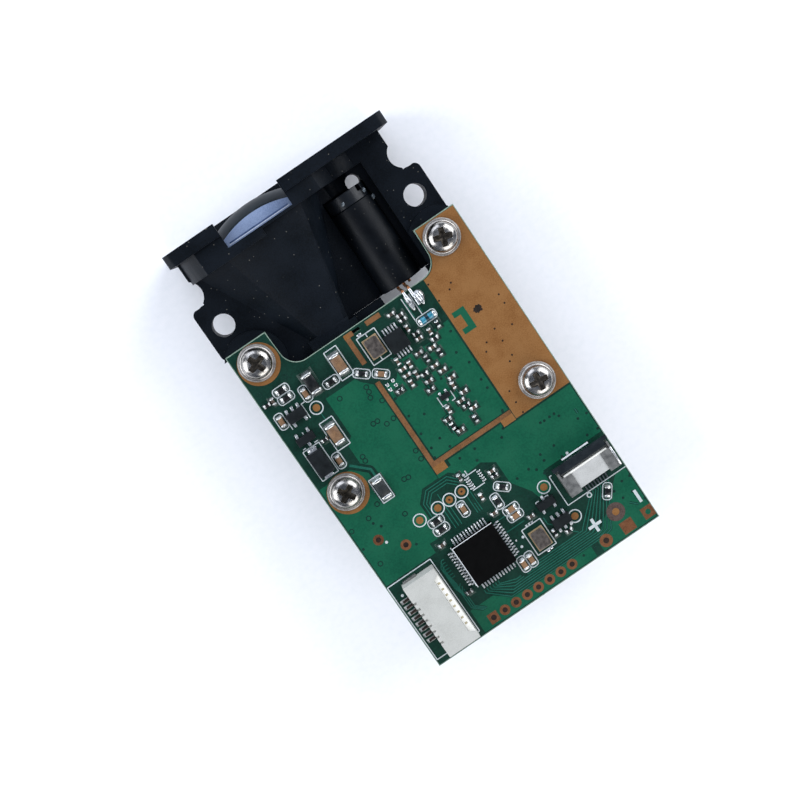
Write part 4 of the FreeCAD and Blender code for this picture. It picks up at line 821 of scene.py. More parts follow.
@cache
def placed_parts_tree() -> NodeTree:
    """The tree that sets a copy of one part on each point, turned by the point's yaw.

    Returns:
        A tree whose named inputs are the part, how far copies wander and turn, how much their tone
        differs, the seed of all three, and their finish.
    """
    inputs = {"Part": "Object", "Wander": "Float", "Turn": "Float", "Tone": "Float", "Seed": "Int"}
    tree, given = new_tree("placed_parts", inputs | {"Finish": "Material"})
    wander, seed = given.outputs["Wander"], given.outputs["Seed"]
    up = maths(tree, "MULTIPLY", wander, 0.05)
    reach = add(tree, "ShaderNodeCombineXYZ", {"X": wander, "Y": wander, "Z": up}).outputs[0]
    back = add(tree, "ShaderNodeVectorMath", {0: reach, "Scale": -1.0}, operation="SCALE").outputs[0]
    ends = {"Min": back, "Max": reach, "Seed": seed}
    shift = add(tree, "FunctionNodeRandomValue", ends, data_type="FLOAT_VECTOR").outputs[0]
    points = {"Geometry": given.outputs["Geometry"], "Offset": shift}
    moved = add(tree, "GeometryNodeSetPosition", points).outputs["Geometry"]
    yaw = add(tree, "GeometryNodeInputNamedAttribute", {"Name": "yaw"}, data_type="FLOAT")
    angle = maths(tree, "ADD", yaw.outputs["Attribute"], drawn(tree, given.outputs["Turn"], seed))
    upright = add(tree, "ShaderNodeCombineXYZ", {"Z": angle}).outputs[0]
    part = add(tree, "GeometryNodeObjectInfo", {"Object": given.outputs["Part"]}).outputs["Geometry"]
    copies = {"Points": moved, "Instance": part, "Rotation": upright}
    spread = add(tree, "GeometryNodeInstanceOnPoints", copies).outputs["Instances"]
    own = {"Geometry": spread, "Name": "tone", "Value": drawn(tree, given.outputs["Tone"], seed)}
    kept = add(tree, "GeometryNodeStoreNamedAttribute", own, data_type="FLOAT", domain="INSTANCE")
    finish_tree(tree, given, kept.outputs["Geometry"])
    return tree


@cache
def printed_lines_tree() -> NodeTree:
    """The tree that lays a flat strip along each run of edges.

    Returns:
        A tree whose named inputs are the strip's width, its thickness, the radius of its corners and
        its finish.
    """
    inputs = {"Width": "Float", "Thickness": "Float", "Corner": "Float", "Finish": "Material"}
    tree, given = new_tree("printed_lines", inputs)
    runs = add(tree, "GeometryNodeMeshToCurve", {"Mesh": given.outputs["Geometry"]}).outputs["Curve"]
    turn = {"Curve": runs, "Radius": given.outputs["Corner"], "Limit Radius": True, "Count": 4}
    eased = add(tree, "GeometryNodeFilletCurve", turn, mode="POLY").outputs["Curve"]
    flat = add(tree, "GeometryNodeSetCurveNormal", {"Curve": eased}, mode="Z_UP").outputs["Curve"]
    size = {"Width": given.outputs["Width"], "Height": given.outputs["Thickness"]}
    strip = add(tree, "GeometryNodeCurvePrimitiveQuadrilateral", size, mode="RECTANGLE").outputs["Curve"]
    swept = {"Curve": flat, "Profile Curve": strip, "Fill Caps": True}
    finish_tree(tree, given, add(tree, "GeometryNodeCurveToMesh", swept).outputs["Mesh"])
    return tree


def grown(start: Mesh, tree: NodeTree, values: dict[str, object], name: str) -> Mesh:
    """Runs a tree on a starting mesh and keeps the result as a plain mesh.

    Args:
        start: the points or edges that the tree works on.
        tree: the tree.
        values: name of each of its inputs, to its value.
        name: the result's name.

    Returns:
        The mesh.
    """
    holder = bpy.data.objects.new("holder", start)
    bpy.context.scene.collection.objects.link(holder)
    modifier = holder.modifiers.new("grow", "NODES")
    modifier.node_group = tree
    sockets = {s.name: s.identifier for s in tree.interface.items_tree if s.in_out == "INPUT"}
    for label, value in values.items():
        modifier[sockets[label]] = value
    graph = bpy.context.evaluated_depsgraph_get()
    shown = holder.evaluated_get(graph)
    mesh = bpy.data.meshes.new_from_object(shown, preserve_all_data_layers=True, depsgraph=graph)
    mesh.name = name
    holder.modifiers.remove(modifier)
    bpy.data.objects.remove(holder)
    return mesh


@dataclass
class Repeats:
    """One part set down at many places by the placed-parts tree.

    Args:
        name: the finished piece's name.
        part: the part's shape about its own origin, in metres.
        places: (point in metres, yaw in radians) of each copy.
        finish: their surface.
        seed: the seed of their small differences.
        wander: how far they wander, in millimetres.
        turn: how far they turn, in degrees.
        tone: how much their colour differs.
        sharp: the angle past which an edge stays sharp.
    """

    name: str
    part: BMesh
    places: list[tuple[Vector, float]]
    finish: Finish
    seed: int = 1
    wander: float = 0.0
    turn: float = 0.0
    tone: float = 0.08
    sharp: float = 50.0

    def build(self, stands_for: Sequence[str] = (), edge_mm: float = 0.0) -> Object:
        """Builds and dresses the piece.

        Args:
            stands_for: CAD nodes that it is shown instead of.
            edge_mm: width of its bevels.

        Returns:
            The piece.
        """
        start = bpy.data.meshes.new("places")
        start.from_pydata([tuple(point) for point, _ in self.places], [], [])
        yaw = start.attributes.new("yaw", "FLOAT", "POINT")
        yaw.data.foreach_set("value", [turn for _, turn in self.places])
        pattern = bpy.data.objects.new("pattern", baked(self.part, "pattern", self.sharp))
        bpy.context.scene.collection.objects.link(pattern)
        values = {
            "Part": pattern,
            "Wander": self.wander * MM,
            "Turn": math.radians(self.turn),
            "Tone": self.tone,
            "Seed": self.seed,
            "Finish": self.finish.material(),
        }
        mesh = grown(start, placed_parts_tree(), values, self.name)
        bpy.data.objects.remove(pattern)
        return piece(self.name, mesh, self.finish, Body.MODULE, stands_for, edge_mm)


@dataclass
class PrintedLines:
    """Lines printed, etched or screened on the board, as flat strips.

    Args:
        name: the finished piece's name.
        runs: the corners of each line, in metres.
        width: the lines' width in millimetres.
        thickness: their thickness in millimetres, half of it above their corners.
        finish: their surface.
        corner: how their corners turn.
    """

    name: str
    runs: list[list[Vector]]
    width: float
    thickness: float
    finish: Finish
    corner: Corner = Corner.CRISP

    def build(self) -> Object:
        """Builds and dresses the piece.

        Returns:
            The piece.
        """
        points: list[Vector] = []
        edges = []
        for i, run in enumerate(self.runs):
            run = [p + Vector((0, 0, i * STEP_MM * MM)) for p in run]
            closed = (run[0] - run[-1]).length < MERGE_MM * MM
            first = len(points)
            points += run[:-1] if closed else run
            count = len(points) - first
            edges += [(first + k, first + k + 1) for k in range(count - 1)]
            if closed:
                edges.append((first + count - 1, first))
        start = bpy.data.meshes.new("runs")
        start.from_pydata([tuple(p) for p in points], edges, [])
        values = {
            "Width": self.width * MM,
            "Thickness": self.thickness * MM,
            "Corner": self.corner.value * MM,
            "Finish": self.finish.material(),
        }
        mesh = grown(start, printed_lines_tree(), values, self.name)
        mesh.shade_flat()
        return piece(self.name, mesh, self.finish)


# ---- Optical bench ----
@dataclass
class OpticalBench:
    """The moulded housing that holds the optics.

    Args:
        edge: rounding of its moulded edges.
    """

    edge: float = 0.14

    def build(self) -> None:
        """Builds and dresses the bench."""
        copied("bench_moulding", "optical_bench", BENCH_BLACK, self.edge)


@dataclass
class Receiver:
    """The receiving lens, its filter and the light sensor behind them.

    Args:
        lens_edge: grinding chamfer round the lens.
        chamfer_length: length of the chamfer that shows through the flange's notch.
        polished_from: how squarely a face looks along the axis if it is polished, from 0 to 1.
    """

    lens_edge: float = 0.12
    chamfer_length: float = 10.6
    polished_from: float = 0.45

    def build(self) -> None:
        """Builds and dresses the lens, and dresses what is hidden behind it."""
        self.lens()
        copied("filter_disc", "bandpass_filter", FILTER_RED, 0.05)
        copied("sensor_header", "detector_base", CAN_GOLD, 0.06)
        copied("sensor_can", "detector_cap", CAN_GOLD, 0.06)
        dressed("detector_window", WINDOW_GLASS)
        dressed("detector_leads", LEG_COPPER)

    def lens(self) -> None:
        """The lens: ground flats and rim, polished faces."""
        mesh = baked(merged("receiving_lens"), "receiver_lens_glass", 20)
        # ground faces carry a painted sky reflection; polished faces are dark with painted shade
        two_toned(mesh, LENS_GROUND, LENS_POLISHED_PAINTED_SHADE, lambda face: abs(face.normal.y) > self.polished_from)
        piece("receiver_lens_glass", mesh, LENS_GROUND, stands_for=["receiving_lens"], edge_mm=self.lens_edge)
        low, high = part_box("receiving_lens")
        middle = (low.x + high.x) / 2
        # a strip of painted highlight and a strip of painted shadow, laid over the lens's rear edge
        for name, finish, near, far in (
            ("lens_rear_chamfer", CHAMFER_PAINTED_HIGHLIGHT, 0.2, 0.3),
            ("lens_chamfer_shadow", CHAMFER_PAINTED_SHADOW, 0.36, 0.56),
        ):
            shape = bmesh.new()
            half = (self.chamfer_length / 2 - near) * MM
            corners = ((-half, near), (half, near), (half, far), (-half, far))
            outline = [Vector((middle + x, low.y + y * MM)) for x, y in corners]
            prism(shape, outline, high.z - 0.02 * MM, high.z + 0.012 * MM)
            piece(name, baked(shape, name), finish)


@dataclass
class LaserHead:
    """The laser's barrel, its lens cell, the diode and its soldered legs.

    Args:
        mound_width: width of each solder mound.
        mound_height: its height.
        mound_shift: how far the second mound lies outwards of its leg.
        mound_groove: depth of the hollow along a mound, as a share of its height.
        wetted: how far past its joint the solder has crept up each leg.
    """

    mound_width: float = 1.0
    mound_height: float = 0.8
    mound_shift: float = 0.62
    mound_groove: float = 0.35
    wetted: float = 0.35

    def build(self) -> None:
        """Builds and dresses every piece of the laser."""
        copied("laser_tube", "laser_barrel", BARREL_BLACK, 0.15)
        copied("lens_cell", "collimator_cell", CELL_BLACK, 0.1)
        copied("collimator_glass", "collimating_lens", LENS_POLISHED_PAINTED_SHADE, 0.05, sharp=20)
        copied("collimator_retainer", "collimator_ring", CELL_BLACK, 0.05)
        copied("diode_header", "laser_diode_base", CAN_GOLD, 0.06)
        copied("diode_can", "laser_diode_cap", CAN_GOLD, 0.06)
        dressed("laser_diode_window", WINDOW_GLASS)
        self.legs()
        self.solder_mounds()
        self.glue_drops()

    def legs(self) -> None:
        """The diode's legs: bare copper, wetted with solder where they lie on the board."""
        mesh = baked(merged("laser_diode_leads"), "diode_legs")
        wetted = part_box("laser_lead_solder")[1].y + self.wetted * MM
        two_toned(mesh, LEG_COPPER, SOLDER, lambda face: face.center.y < wetted)
        piece("diode_legs", mesh, LEG_COPPER, stands_for=["laser_diode_leads"])

    def solder_mounds(self) -> None:
        """Builds the long solder joint over each leg's foot."""
        mounds = []
        for i, joint in enumerate(solids("laser_lead_solder")):  # the second lies wider and further out
            low, high = joint.low, joint.high
            spread = self.mound_shift * i
            near = Vector((joint.middle.x + spread * MM, low.y + 0.15 * MM, low.z))
            far = Vector((joint.middle.x + (0.9 * spread - 0.05) * MM, high.y + (0.5 - 0.6 * i) * MM, low.z))
            width = self.mound_width * (1 + 0.6 * i)
            mounds.append(mound(near, far, width, self.mound_height, i, 0.9 * i, self.mound_groove))
        # the laid solder's darker finish is painted shade
        mesh = baked(joined(mounds), "diode_leg_solder", 80)
        piece("diode_leg_solder", mesh, SOLDER_LAID_PAINTED_SHADE, stands_for=["laser_lead_solder"])

    def glue_drops(self) -> None:
        """The drops that lock the lens cell in the bench."""
        drops = []
        for x, y, z, size in ((7.0, 28.0, 11.95, 0.5), (10.65, 28.0, 10.7, 0.62), (11.3, 26.5, 9.9, 0.7)):
            middle = Vector((x, y, z)) * MM
            reach = Vector((0.3, size / 2, 0)) * MM
            drops.append(mound(middle - reach, middle + reach, size, 0.3, seed=len(drops)))
        piece("cell_glue_drops", baked(joined(drops), "cell_glue_drops", 80), GLUE_CLEAR)


def mound(
    start: Vector,
    end: Vector,
    width: float,
    height: float,
    seed: int = 0,
    taper: float = 0.0,
    groove: float = 0.0,
) -> BMesh:
    """A long drop that froze as it flowed: round across, thin at both ends.

    Args:
        start: the middle of its near end, on the surface that it lies on.
        end: the middle of its far end.
        width: its width in millimetres.
        height: its height in millimetres.
        seed: picks its unevenness.
        taper: how much wider it grows towards its far end.
        groove: depth of the hollow along its middle, as a share of its height.

    Returns:
        The shape.
    """
    along_count, across_count = 16, 12
    blunt, uneven, lumpy, hollow_half = 0.55, 0.12, 0.15, 0.3
    along = end - start
    side = Vector((-along.y, along.x, 0)).normalized()
    shape = bmesh.new()
    rows = []
    for i in range(along_count + 1):
        t = i / along_count
        swell = max(math.sin(math.pi * (0.04 + 0.92 * t)), 0.0) ** blunt
        row = []
        for j in range(across_count + 1):
            s = 2 * j / across_count - 1
            ripple = noise.noise(Vector((5 * t, 1.5 * s, 7.3 * seed + 1.7)))
            breadth = width * MM / 2 * swell * (1 + uneven * ripple + taper * (t - 0.5))
            hollow = 1 - groove * math.exp(-((s / hollow_half) ** 2)) * min(4 * t, 1.0)
            rise = height * MM * swell * math.sqrt(max(1 - s * s, 0)) * (1 + lumpy * ripple) * hollow
            row.append(shape.verts.new(start + along * t + side * s * breadth + Vector((0, 0, rise))))
        rows.append(row)
    for near, far in zip(rows, rows[1:]):
        for j in range(across_count):
            shape.faces.new((near[j + 1], near[j], far[j], far[j + 1]))
    for j in (0, along_count):
        shape.faces.new(rows[j] if j else rows[j][::-1])
    floor = [row[-1] for row in rows] + [row[0] for row in reversed(rows)]
    shape.faces.new(floor)
    bmesh.ops.recalc_face_normals(shape, faces=shape.faces)
    return shape


# ---- Board ----
@dataclass
class Sheet:
    """The board's top face, and the grid that its artwork is drawn on.

    The grid runs from 0 to 40 across the board's width and in millimetres from its rear edge.

    Args:
        across: grid units across the board.
        low: the board's lowest corner.
        high: its highest corner.
    """

    across: float = 40.0
    low: Vector = field(default_factory=lambda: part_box("circuit_board")[0])
    high: Vector = field(default_factory=lambda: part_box("circuit_board")[1])

    def at(self, x: float, y: float, lift: float = 0.0) -> Vector:
        """A point of the grid, lifted by so many millimetres above the board."""
        step = (self.high.x - self.low.x) / self.across
        return Vector((self.low.x + x * step, self.low.y + y * MM, self.high.z + lift * MM))

    def run(self, corners: Sequence[Point], lift: float) -> list[Vector]:
        """A line through points of the grid."""
        return [self.at(x, y, lift) for x, y in corners]


DRILLED_PADS = [(15.3, 19.9), (17.5, 19.9)]
TEST_PADS = [(6.85, 42.1), (9.95, 19.85), (13.2, 19.85), *DRILLED_PADS, (28.0, 13.5), (29.45, 7.25)]


def quarter(x: float, y: float, across: float, along: float) -> list[Point]:
    """A quarter of an oval about a point of the grid, from its rear end to its side."""
    turns = [math.pi / 2 * i / QUARTER_STEPS for i in range(QUARTER_STEPS + 1)]
    return [(x + across * math.sin(t), y - along * math.cos(t)) for t in turns]


def oval(x: float, y: float, across: float, along: float, count: int) -> list[Point]:
    """A closed oval line about a point of the grid."""
    turns = [2 * math.pi * i / count for i in range(count + 1)]
    return [(x + across * math.cos(t), y + along * math.sin(t)) for t in turns]


def rectangle(x0: float, y0: float, x1: float, y1: float) -> list[Point]:
    """The corners of a rectangle, the first of them twice, so that it closes."""
    return [(x0, y0), (x1, y0), (x1, y1), (x0, y1), (x0, y0)]


@dataclass
class CircuitBoard:
    """The bare laminate and everything etched, screened or printed on its top.

    Args:
        sheet: the board's top face.
        pour_top: height of the mask over the copper pour.
        gap_top: height of the bare gaps beside the traces.
        trace_top: height of the mask over traces.
        ring_top: height of the via rings.
        copper_top: height of bare copper.
        ink_top: height of the printed ink.
        outline: length and width of the outline printed round a chip.
        land_radius: radius of the bare copper under the two left washers.
        land_shift: how far it lies off their axes, along the board and across it.
        step: least step between two layers that overlap.
    """

    sheet: Sheet = field(default_factory=Sheet)
    pour_top: float = 0.006
    gap_top: float = 0.014
    trace_top: float = 0.021
    ring_top: float = 0.016
    copper_top: float = 0.024
    ink_top: float = 0.04
    outline: Point = (2.55, 1.36)
    land_radius: float = 3.15
    land_shift: Point = (-0.32, 0.14)
    step: float = 0.002

    def build(self) -> None:
        """Builds the laminate first, then each layer on it."""
        self.laminate()
        self.pours()
        self.traces()
        self.vias()
        self.copper()
        self.pads()
        self.ink()

    def laminate(self) -> None:
        """The board itself: green faces, pale sawn edges."""
        mesh = baked(merged("circuit_board"), "board_laminate_sheet")
        two_toned(mesh, MASK_DARK, LAMINATE_EDGE, lambda face: abs(face.normal.z) <= 0.5)
        piece("board_sheet", mesh, MASK_DARK, stands_for=["circuit_board"])
        inset = 0.055
        bend = quarter(30.26, 51.5, 2.76, 2.72)
        mirror = quarter(9.74, 51.5, -2.76, 2.72)
        end, side = 55.3 - inset, self.sheet.across - inset
        edge = [(inset, end), (inset, inset), (side, inset), (side, end), (33.1 + inset, end)]
        edge += [*bend[::-1], *mirror, (6.9 - inset, end)]
        self.lines("sawn_edge_of_laminate", [edge + edge[:1]], 1.96 * inset, self.gap_top, LAMINATE_EDGE)

    def lines(
        self,
        name: str,
        runs: list[list[Point]],
        width: float,
        top: float,
        finish: Finish,
        corner: Corner = Corner.CRISP,
    ) -> None:
        """Lines on the grid, as thick as their top is high.

        Args:
            name: the piece's name.
            runs: the corners of each line.
            width: their width.
            top: height of their top.
            finish: their surface.
            corner: how their corners turn.
        """
        laid = [self.sheet.run(run, top / 2) for run in runs]
        PrintedLines(name, laid, width, top, finish, corner).build()

    def marks(
        self, name: str, part: BMesh, places: Sequence[Point], finish: Finish, seed: int, **more: float
    ) -> None:
        """The same flat mark at many places of the grid.

        Args:
            name: the piece's name.
            part: the mark.
            places: where it stands.
            finish: its surface.
            seed: the seed of the marks' small differences.
            **more: how large those are.
        """
        Repeats(name, part, [(self.sheet.at(x, y), 0.0) for x, y in places], finish, seed, **more).build()

    def flat(self, name: str, outlines: Sequence[Sequence[Vector]], top: float, finish: Finish) -> None:
        """One flat layer of polygons on the board.

        Args:
            name: the piece's name.
            outlines: the corners of each polygon in metres, counter-clockwise from above.
            top: height of the layer's top.
            finish: its surface.
        """
        shape = bmesh.new()
        for outline in outlines:
            prism(shape, outline, self.sheet.high.z, self.sheet.high.z + top * MM)
        piece(name, baked(shape, name), finish)

    def layer(self, name: str, outlines: Sequence[Sequence[Point]], top: float, finish: Finish) -> None:
        """The same, with its polygons on the grid."""
        self.flat(name, [self.sheet.run(outline, 0) for outline in outlines], top, finish)

    def pours(self) -> None:
        """The mask where a copper plane lies beneath it."""
        left = [
            (0.3, 14.5), (9.2, 14.5), (9.2, 16.1), (11.3, 16.1), (11.3, 21.8), (12.9, 23.5), (15.7, 23.5),
            (15.7, 40.2), (14.3, 41.6), (13.9, 42.4), (8.7, 42.4), (8.7, 35.9), (7.5, 34.8), (7.5, 31.9),
            (0.3, 31.9),
        ]
        bay = [(16.95, 26.1), (30.0, 26.1), (30.0, 41.9), (27.2, 41.9), (26.4, 40.6), (20.8, 41.0),
               (18.9, 39.0), (16.95, 39.0)]
        middle = [
            (15.8, 23.4), (17.4, 23.4), (19.3, 21.6), (22.2, 21.9), (24.2, 20.6), (24.2, 16.9), (26.2, 14.0),
            (26.6, 12.6), (29.0, 12.6), (29.3, 15.6), (39.7, 15.6), (39.7, 24.0), (27.9, 24.0), (27.9, 24.9),
            (18.4, 24.9), (18.4, 24.0), (15.8, 24.0),
        ]
        corner = [(30.2, 0.3), (39.7, 0.3), (39.7, 9.0), (37.9, 9.0), (33.4, 4.8), (31.6, 3.4), (30.2, 3.2)]
        rear = [(8.5, 0.3), (28.9, 0.3), (28.9, 2.3), (16.9, 2.3), (15.0, 2.4), (12.6, 4.3), (8.5, 4.3)]
        self.layer("mask_over_pours", [left, bay, middle, corner, rear], self.pour_top, MASK_POUR)

    def trace_runs(self) -> list[list[Point]]:
        """The thin traces that show through the mask.

        Returns:
            The corners of each trace, on the grid.
        """
        runs = []
        for i in range(3):
            ease = 0.42 * i
            runs.append(
                [(11.75 + ease, 18.9), (11.75 + ease, 21.5 - 0.2 * i), (13.2 + 0.6 * ease, 23.0 - ease)]
                + [(16.9 - 0.6 * ease, 23.0 - ease), (18.4 - ease, 21.4 - 0.4 * ease)]
            )
        ends = (13.75, 18.9), (14.3, 21.6), (14.85, 20.8), (17.75, 19.0), (18.15, 17.4), (18.55, 19.6)
        runs += [[(x, 15.9), (x, end)] for x, end in ends]
        for i in range(8):
            knee = 5.2 - 0.36 * i
            runs.append(
                [(33.25 + 0.47 * i, 9.2), (33.25 + 0.47 * i, 8.7), (29.6 + 0.5 * i - 0.2, knee - 0.15)]
                + [(29.2 + 0.36 * i, knee - 0.45), (19.3 - 0.3 * i, knee - 0.45)]
            )
        for i in range(6):
            runs.append([(12.0 + 0.5 * i, 5.7), (12.0 + 0.5 * i, 5.2), (14.9 + 0.42 * i, 2.55 + 0.36 * i)]
                        + [(19.3 - 0.3 * i, 2.6 + 0.36 * i)])
        for i in range(7):
            level = 13.0 - 0.5 * i
            runs.append([(9.6, level), (9.15 - 0.12 * i, level), (8.5 + 0.1 * i, level - 0.9)]
                        + [(8.5 + 0.1 * i, 8.3 - 0.3 * i)])
        for i in range(3):
            runs.append([(9.6, 8.6 - 0.5 * i), (8.9 + 0.3 * i, 7.9 - 0.5 * i), (8.9 + 0.3 * i, 4.6)]
                        + [(10.3 + 0.3 * i, 3.3)])
        runs += [
            [(6.95, 41.2), (6.95, 40.0)],
            [(19.9, 42.0), (20.9, 41.0), (20.9, 38.4), (22.2, 36.6), (22.2, 34.8)],
            [(22.4, 31.9), (22.4, 30.4), (21.5, 30.4), (21.5, 27.6)],
            [(25.3, 35.6), (25.3, 27.2)],
            [(19.5, 13.2), (21.0, 13.2)],
            [(19.6, 11.0), (22.8, 11.0)],
            [(25.4, 9.7), (25.4, 8.6), (26.2, 7.8)],
            [(28.6, 4.9), (27.6, 5.9), (27.6, 6.9)],
            [(38.3, 20.6), (38.3, 19.8)],
            [(37.4, 4.3), (38.4, 3.3)],
            [(26.2, 44.9), (26.2, 48.1)],
            [(27.6, 44.9), (27.6, 48.3)],
        ]
        return runs

    def traces(self) -> None:
        """The traces under the mask, each between two bare gaps."""
        feed = [[(6.0, 32.4), (8.3, 30.2), (8.3, 29.0)]]
        runs = self.trace_runs()
        self.lines("mask_gaps_beside_traces", runs, 0.34, self.gap_top, MASK_DARK)
        self.lines("mask_over_traces", runs, 0.14, self.trace_top, MASK_TRACE)
        self.lines("mask_gaps_beside_feed", feed, 1.15, self.gap_top, MASK_DARK, Corner.ROUND)
        self.lines("mask_over_feed", feed, 0.36, self.trace_top, MASK_TRACE)

    def vias(self) -> None:
        """Mask-filled vias: a dark ring round a paler middle."""
        places = [
            (10.4, 41.3), (14.6, 40.5), (14.5, 39.7), (14.2, 38.9), (15.4, 37.6), (12.4, 35.5), (13.1, 35.5),
            (14.05, 34.4), (15.3, 34.5), (8.35, 32.4), (8.3, 31.7), (15.3, 28.7), (15.3, 27.3), (11.5, 26.2),
            (12.2, 26.1), (3.9, 24.4), (8.7, 21.9), (6.1, 25.4), (0.7, 24.2), (13.1, 21.0), (1.0, 48.2),
            (5.6, 48.3), (15.0, 45.2), (1.5, 17.8),
        ]
        small = [
            (32.9, 21.7), (33.6, 21.7), (34.5, 21.7), (35.3, 21.7), (35.8, 21.0), (27.6, 17.0), (28.6, 16.3),
            (30.2, 16.8), (30.3, 17.8), (32.7, 17.8), (32.8, 15.8), (37.7, 16.3), (39.5, 16.2), (38.2, 7.6),
            (39.6, 7.6), (36.4, 7.0), (37.0, 5.4), (38.7, 5.4), (39.7, 3.5), (27.3, 1.5), (29.3, 1.5),
            (25.4, 16.8), (29.2, 15.2), (37.9, 19.1), (39.4, 19.1), (20.1, 24.1), (22.7, 24.0), (22.0, 22.4),
            (26.9, 23.2), (27.8, 24.2), (25.3, 13.7), (26.9, 25.1), (29.2, 26.3), (22.4, 20.8), (7.5, 17.2),
            (0.6, 21.0), (4.0, 23.4), (4.8, 22.4), (17.2, 36.7), (17.3, 33.5), (17.3, 30.4), (17.4, 27.8),
            (17.0, 26.3), (19.4, 32.5), (19.3, 28.3), (19.8, 26.4), (29.2, 35.0), (29.4, 40.3), (28.4, 37.3),
            (26.5, 35.9), (29.3, 30.5), (29.2, 26.4), (24.4, 35.4), (22.8, 36.6), (29.2, 32.0),
        ]
        rings = annulus(0.42, 0.27, 0.0, self.ring_top, 24)
        self.marks("via_rings", rings, places, VIA_DARK, 3, wander=0.03)
        self.marks("via_dots", disc(0.21, self.ring_top, 14), small, VIA_DARK, 4, wander=0.05)

    def copper(self) -> None:
        """Bare copper: the cooling area beside the laser, the shield's landing strip and the screw lands."""
        bend = quarter(30.26, 51.5, 2.95, 2.9)
        area = [(30.3, 24.3), (39.87, 24.3), (39.87, 55.15), (33.26, 55.15), *bend[::-1], (30.3, 48.5)]
        mark = [(30.95, 38.7), (33.0, 38.7), (33.0, 42.35), (30.95, 42.35), (30.95, 41.5), (32.0, 41.5),
                (32.0, 39.55), (30.95, 39.55)]
        corners = [
            [(15.9, 24.0), (17.9, 24.0), (17.9, 25.2), (15.9, 25.2)],
            [(28.1, 24.2), (30.2, 24.2), (30.2, 25.3), (28.1, 25.3)],
            [(15.9, 47.75), (16.75, 47.75), (16.75, 48.4), (15.9, 48.4)],
        ]
        self.layer("copper_area", [area], self.copper_top, COPPER_BARE)
        self.layer("mask_window_mark", [mark], self.copper_top + 3 * self.step, MASK_POUR)
        self.layer("copper_corner_pads", corners, self.copper_top + self.step, COPPER_BARE)
        fence = [[(16.3, 43.4), (16.3, 48.3)], [(16.3, 24.6), (16.3, 40.2)], [(16.0, 48.1), (17.4, 48.1)],
                 [(19.7, 48.1), (22.2, 48.1)], [(16.4, 25.55), (30.2, 25.55)]]
        self.lines("copper_fence_strip", fence, 0.76, self.copper_top, COPPER_DULL)
        washers = [washer.middle for washer in solids("screw_washers")]
        along, across = self.land_shift
        lands = [
            circle(middle.x + across * MM, middle.y + along * MM, self.land_radius * MM, 56)
            for middle in washers
            if middle.x < 0
        ]
        self.flat("copper_screw_lands", lands, self.copper_top, COPPER_BARE)
        pits = [
            (30.5, 47.7), (33.4, 46.1), (32.7, 45.4), (30.5, 44.9), (38.3, 40.8), (38.3, 39.3), (35.0, 37.0),
            (32.9, 36.0), (37.5, 36.1), (32.1, 34.9), (35.0, 34.9), (35.0, 32.4), (34.2, 31.8), (31.7, 28.2),
            (31.6, 26.3), (31.65, 24.5),
        ]
        self.marks("copper_area_vias", disc(0.15, self.copper_top + 2 * self.step, 14), pits, HOLE_DARK, 5)
        self.ink_spot()

    def ink_spot(self) -> None:
        """The tester's dab of dark ink on the copper."""
        centre = self.sheet.at(34.55, 40.8)
        outline = []
        for p in circle(0, 0, 1.0, 30):
            ragged = 0.66 + 0.3 * noise.noise(p * 2.3 + Vector((4.1, 2.2, 0)))
            outline.append(centre + Vector((p.x * ragged, p.y * ragged * 0.8, 0)) * MM)
        self.flat("ink_dab", [outline], self.ink_top, INK_BLACK)

    def pads(self) -> None:
        """The plated holes and the bare test pads."""
        top = self.copper_top + 2 * self.step
        round_places = [(10.86 + 2.03 * i, 1.45) for i in range(1, 8)] + [(3.25, 20.9), (6.2, 18.0)]
        rims = annulus(0.8, 0.4, 0.0, top, 32)
        self.marks("plated_hole_lands", rims, round_places, COPPER_PLATED, 11, tone=0.2)
        big = annulus(1.0, 0.46, 0.0, top, 36)
        self.marks("supply_hole_land", big, [(31.32, 1.5)], COPPER_PLATED, 12)
        frame_land = annulus(0.92, 0.43, 0.0, top, 32, True)
        self.marks("supply_square_land", frame_land, [(38.95, 1.55)], COPPER_PLATED, 15)
        walls = round_places + [(10.86, 1.45), (31.32, 1.5)]
        self.marks("plated_hole_depths", disc(0.43, top - 3 * self.step, 24), walls, HOLE_DARK, 13)
        self.marks("test_pad_holes", disc(0.17, top + self.step, 16), DRILLED_PADS, HOLE_DARK, 14)
        squares = [rectangle(10.06, 0.62, 11.66, 2.28)[:4], rectangle(34.2, 0.5, 36.3, 2.45)[:4]]
        self.layer("copper_square_pads", squares, self.copper_top - 5 * self.step, COPPER_PLATED)
        self.marks("copper_test_pads", disc(0.55, self.copper_top, 24), TEST_PADS, COPPER_BARE, 6)
        self.round_land()
        self.empty_pads()

    def round_land(self) -> None:
        """The large tinted land beside the supply pads, with its bare middle."""
        middle = self.sheet.at(34.9, 4.3)
        outer, inner = (circle(middle.x, middle.y, r * MM, count) for r, count in ((1.42, 40), (0.55, 28)))
        self.flat("round_land", [outer], self.copper_top, LAND_BROWN)
        self.flat("round_land_middle", [inner], self.copper_top + 3 * self.step, COPPER_BARE)

    def empty_pads(self) -> None:
        """Tinned pads that carry no part: the ten-way footprint and a few spares."""
        columns = ((19.2, 0.8), (21.25, 0.6))
        pads = [(x, 21.0 - 0.4 * i, length, 0.22) for i in range(5) for x, length in columns]
        for length, width, places in (
            (0.5, 0.5, [(17.3, 39.0), (17.3, 38.2), (18.35, 39.1), (18.35, 38.3), (18.3, 37.35)]),
            (0.3, 0.35, [(22.6, 10.15), (23.1, 10.15), (23.6, 10.15)]),
            (0.5, 0.4, [(23.3, 5.2), (23.9, 5.3)]),
            (0.7, 0.4, [(18.0, 47.3)]),
            (0.25, 0.25, [(20.1, 9.2)]),
        ):
            pads += [(x, y, length, width) for x, y in places]
        shapes = []
        for x, y, length, width in pads:
            drop = rounded_box((length, width, 0.06), 0.025)
            bmesh.ops.translate(drop, verts=drop.verts, vec=self.sheet.at(x, y, 0.01))
            shapes.append(drop)
        piece("tinned_empty_pads", baked(joined(shapes), "tinned_empty_pads", 60), SOLDER)

